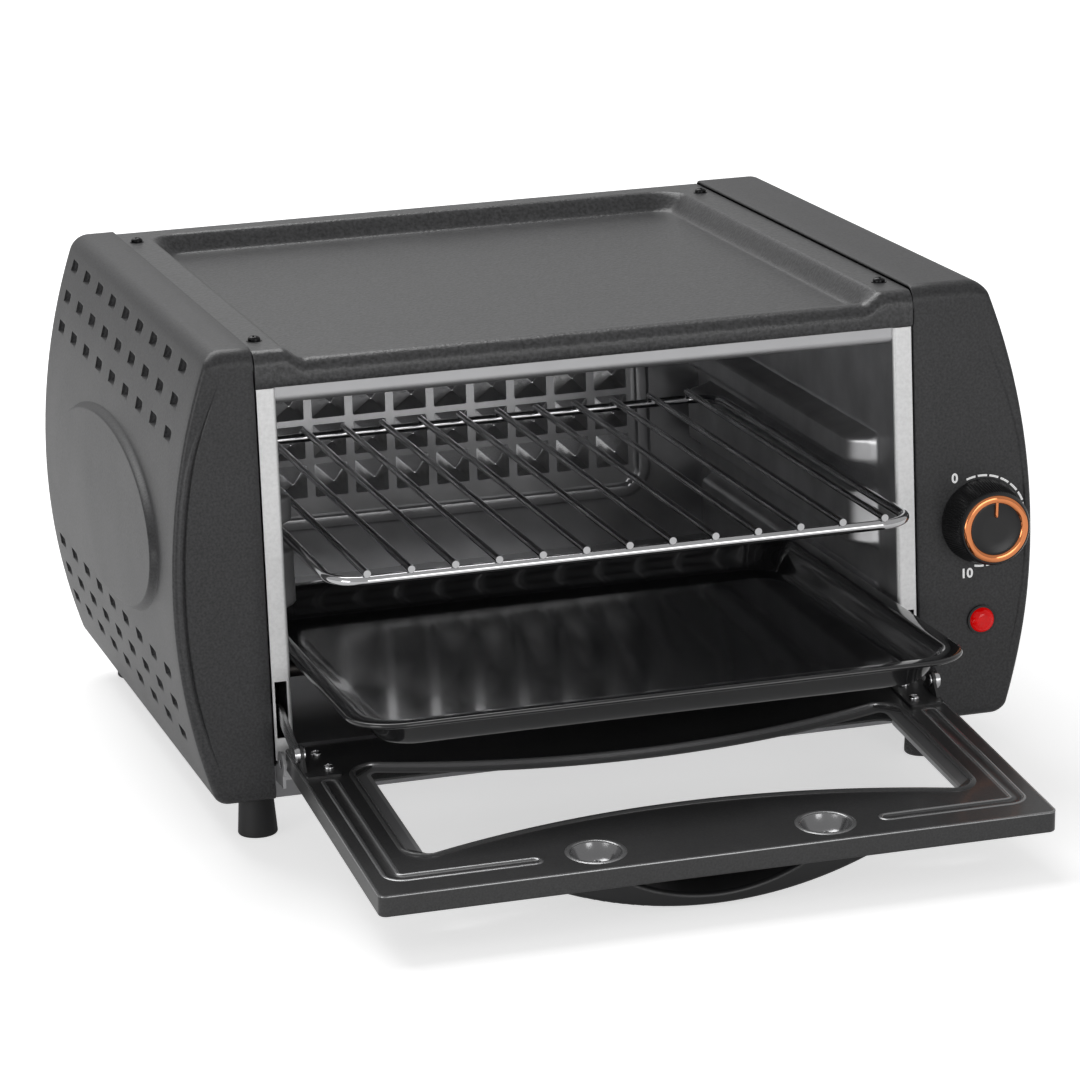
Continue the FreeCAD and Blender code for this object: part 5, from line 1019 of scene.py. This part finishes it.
floor_finish = bpy.data.materials.new("studio_floor")
floor_finish.use_nodes = True
tree = floor_finish.node_tree
rays = node(tree, "ShaderNodeLightPath", {}).outputs
away = node(tree, "ShaderNodeVectorMath", {
    0: node(tree, "ShaderNodeTexCoord", {}).outputs["Object"]}, "LENGTH")
level = node(tree, "ShaderNodeMapRange", {
    "Value": away.outputs["Value"], "From Min": 0.5, "From Max": 2.0, "To Min": 0.64,
    "To Max": 0.9})
seen = node(tree, "ShaderNodeMath", {
    0: rays["Is Glossy Ray"], 1: 0.35, 2: rays["Is Camera Ray"]}, "MULTIPLY_ADD")
gain = node(tree, "ShaderNodeMath", {0: seen.outputs[0], 1: level.outputs["Result"]}, "MULTIPLY")
glow = node(tree, "ShaderNodeEmission", {"Strength": gain.outputs[0]})
paint = node(tree, "Principled BSDF", {"Base Color": (0.85, 0.85, 0.85, 1), "Roughness": 0.7})
both = node(tree, "ShaderNodeAddShader", {0: paint.outputs["BSDF"], 1: glow.outputs["Emission"]})
node(tree, "Material Output", {"Surface": both.outputs["Shader"]})
floor_mesh = bpy.data.meshes.new("studio_floor")
FLOOR_HALF = 6000.0 * MM
floor_mesh.from_pydata([(x * FLOOR_HALF, y * FLOOR_HALF, 0) for x, y in
                        ((-1, -1), (1, -1), (1, 1), (-1, 1))], [], [(0, 1, 2, 3)])
floor_mesh.materials.append(floor_finish)
floor = bpy.data.objects.new("studio_floor", floor_mesh)
bpy.context.collection.objects.link(floor)

world = bpy.data.worlds.new("studio")
bpy.context.scene.world = world
world.use_nodes = True
tree = world.node_tree
rays = node(tree, "ShaderNodeLightPath", {}).outputs
seen = node(tree, "ShaderNodeMath", {
    0: rays["Is Camera Ray"], 1: rays["Is Transmission Ray"]}, "MAXIMUM")
dimmed = node(tree, "ShaderNodeMapRange", {
    "Value": rays["Is Glossy Ray"], "To Min": 0.22, "To Max": 0.45})
strength = node(tree, "ShaderNodeMath", {
    0: seen.outputs[0], 1: dimmed.outputs["Result"]}, "MAXIMUM")
node(tree, "Background", {"Color": (1, 1, 1, 1), "Strength": strength.outputs[0]})

for name, place, size, power in (("back_lamp", (-250, 1100, 1700), 1400, 22),
                                 ("left_lamp", (-1700, -1100, 260), 800, 7),
                                 ("front_lamp", (500, -2200, 500), 900, 6)):
    lamp = bpy.data.lights.new(name, "AREA")
    lamp.size = size * MM
    lamp.energy = power
    stand = bpy.data.objects.new(name, lamp)
    stand.location = [number * MM for number in place]
    stand.rotation_euler = (-stand.location).to_track_quat("-Z", "Y").to_euler()
    bpy.context.collection.objects.link(stand)

camera_data = bpy.data.cameras.new("camera")
camera_data.sensor_width = 36.0
camera_data.lens = 154.70
camera = bpy.data.objects.new("camera", camera_data)
camera.location = (-0.50550, -1.77426, 0.55826)
camera.rotation_euler = [math.radians(angle) for angle in (75.8384, 2.1794, -16.0808)]
bpy.context.collection.objects.link(camera)
bpy.context.scene.camera = camera
bpy.context.scene.view_settings.view_transform = "Standard"
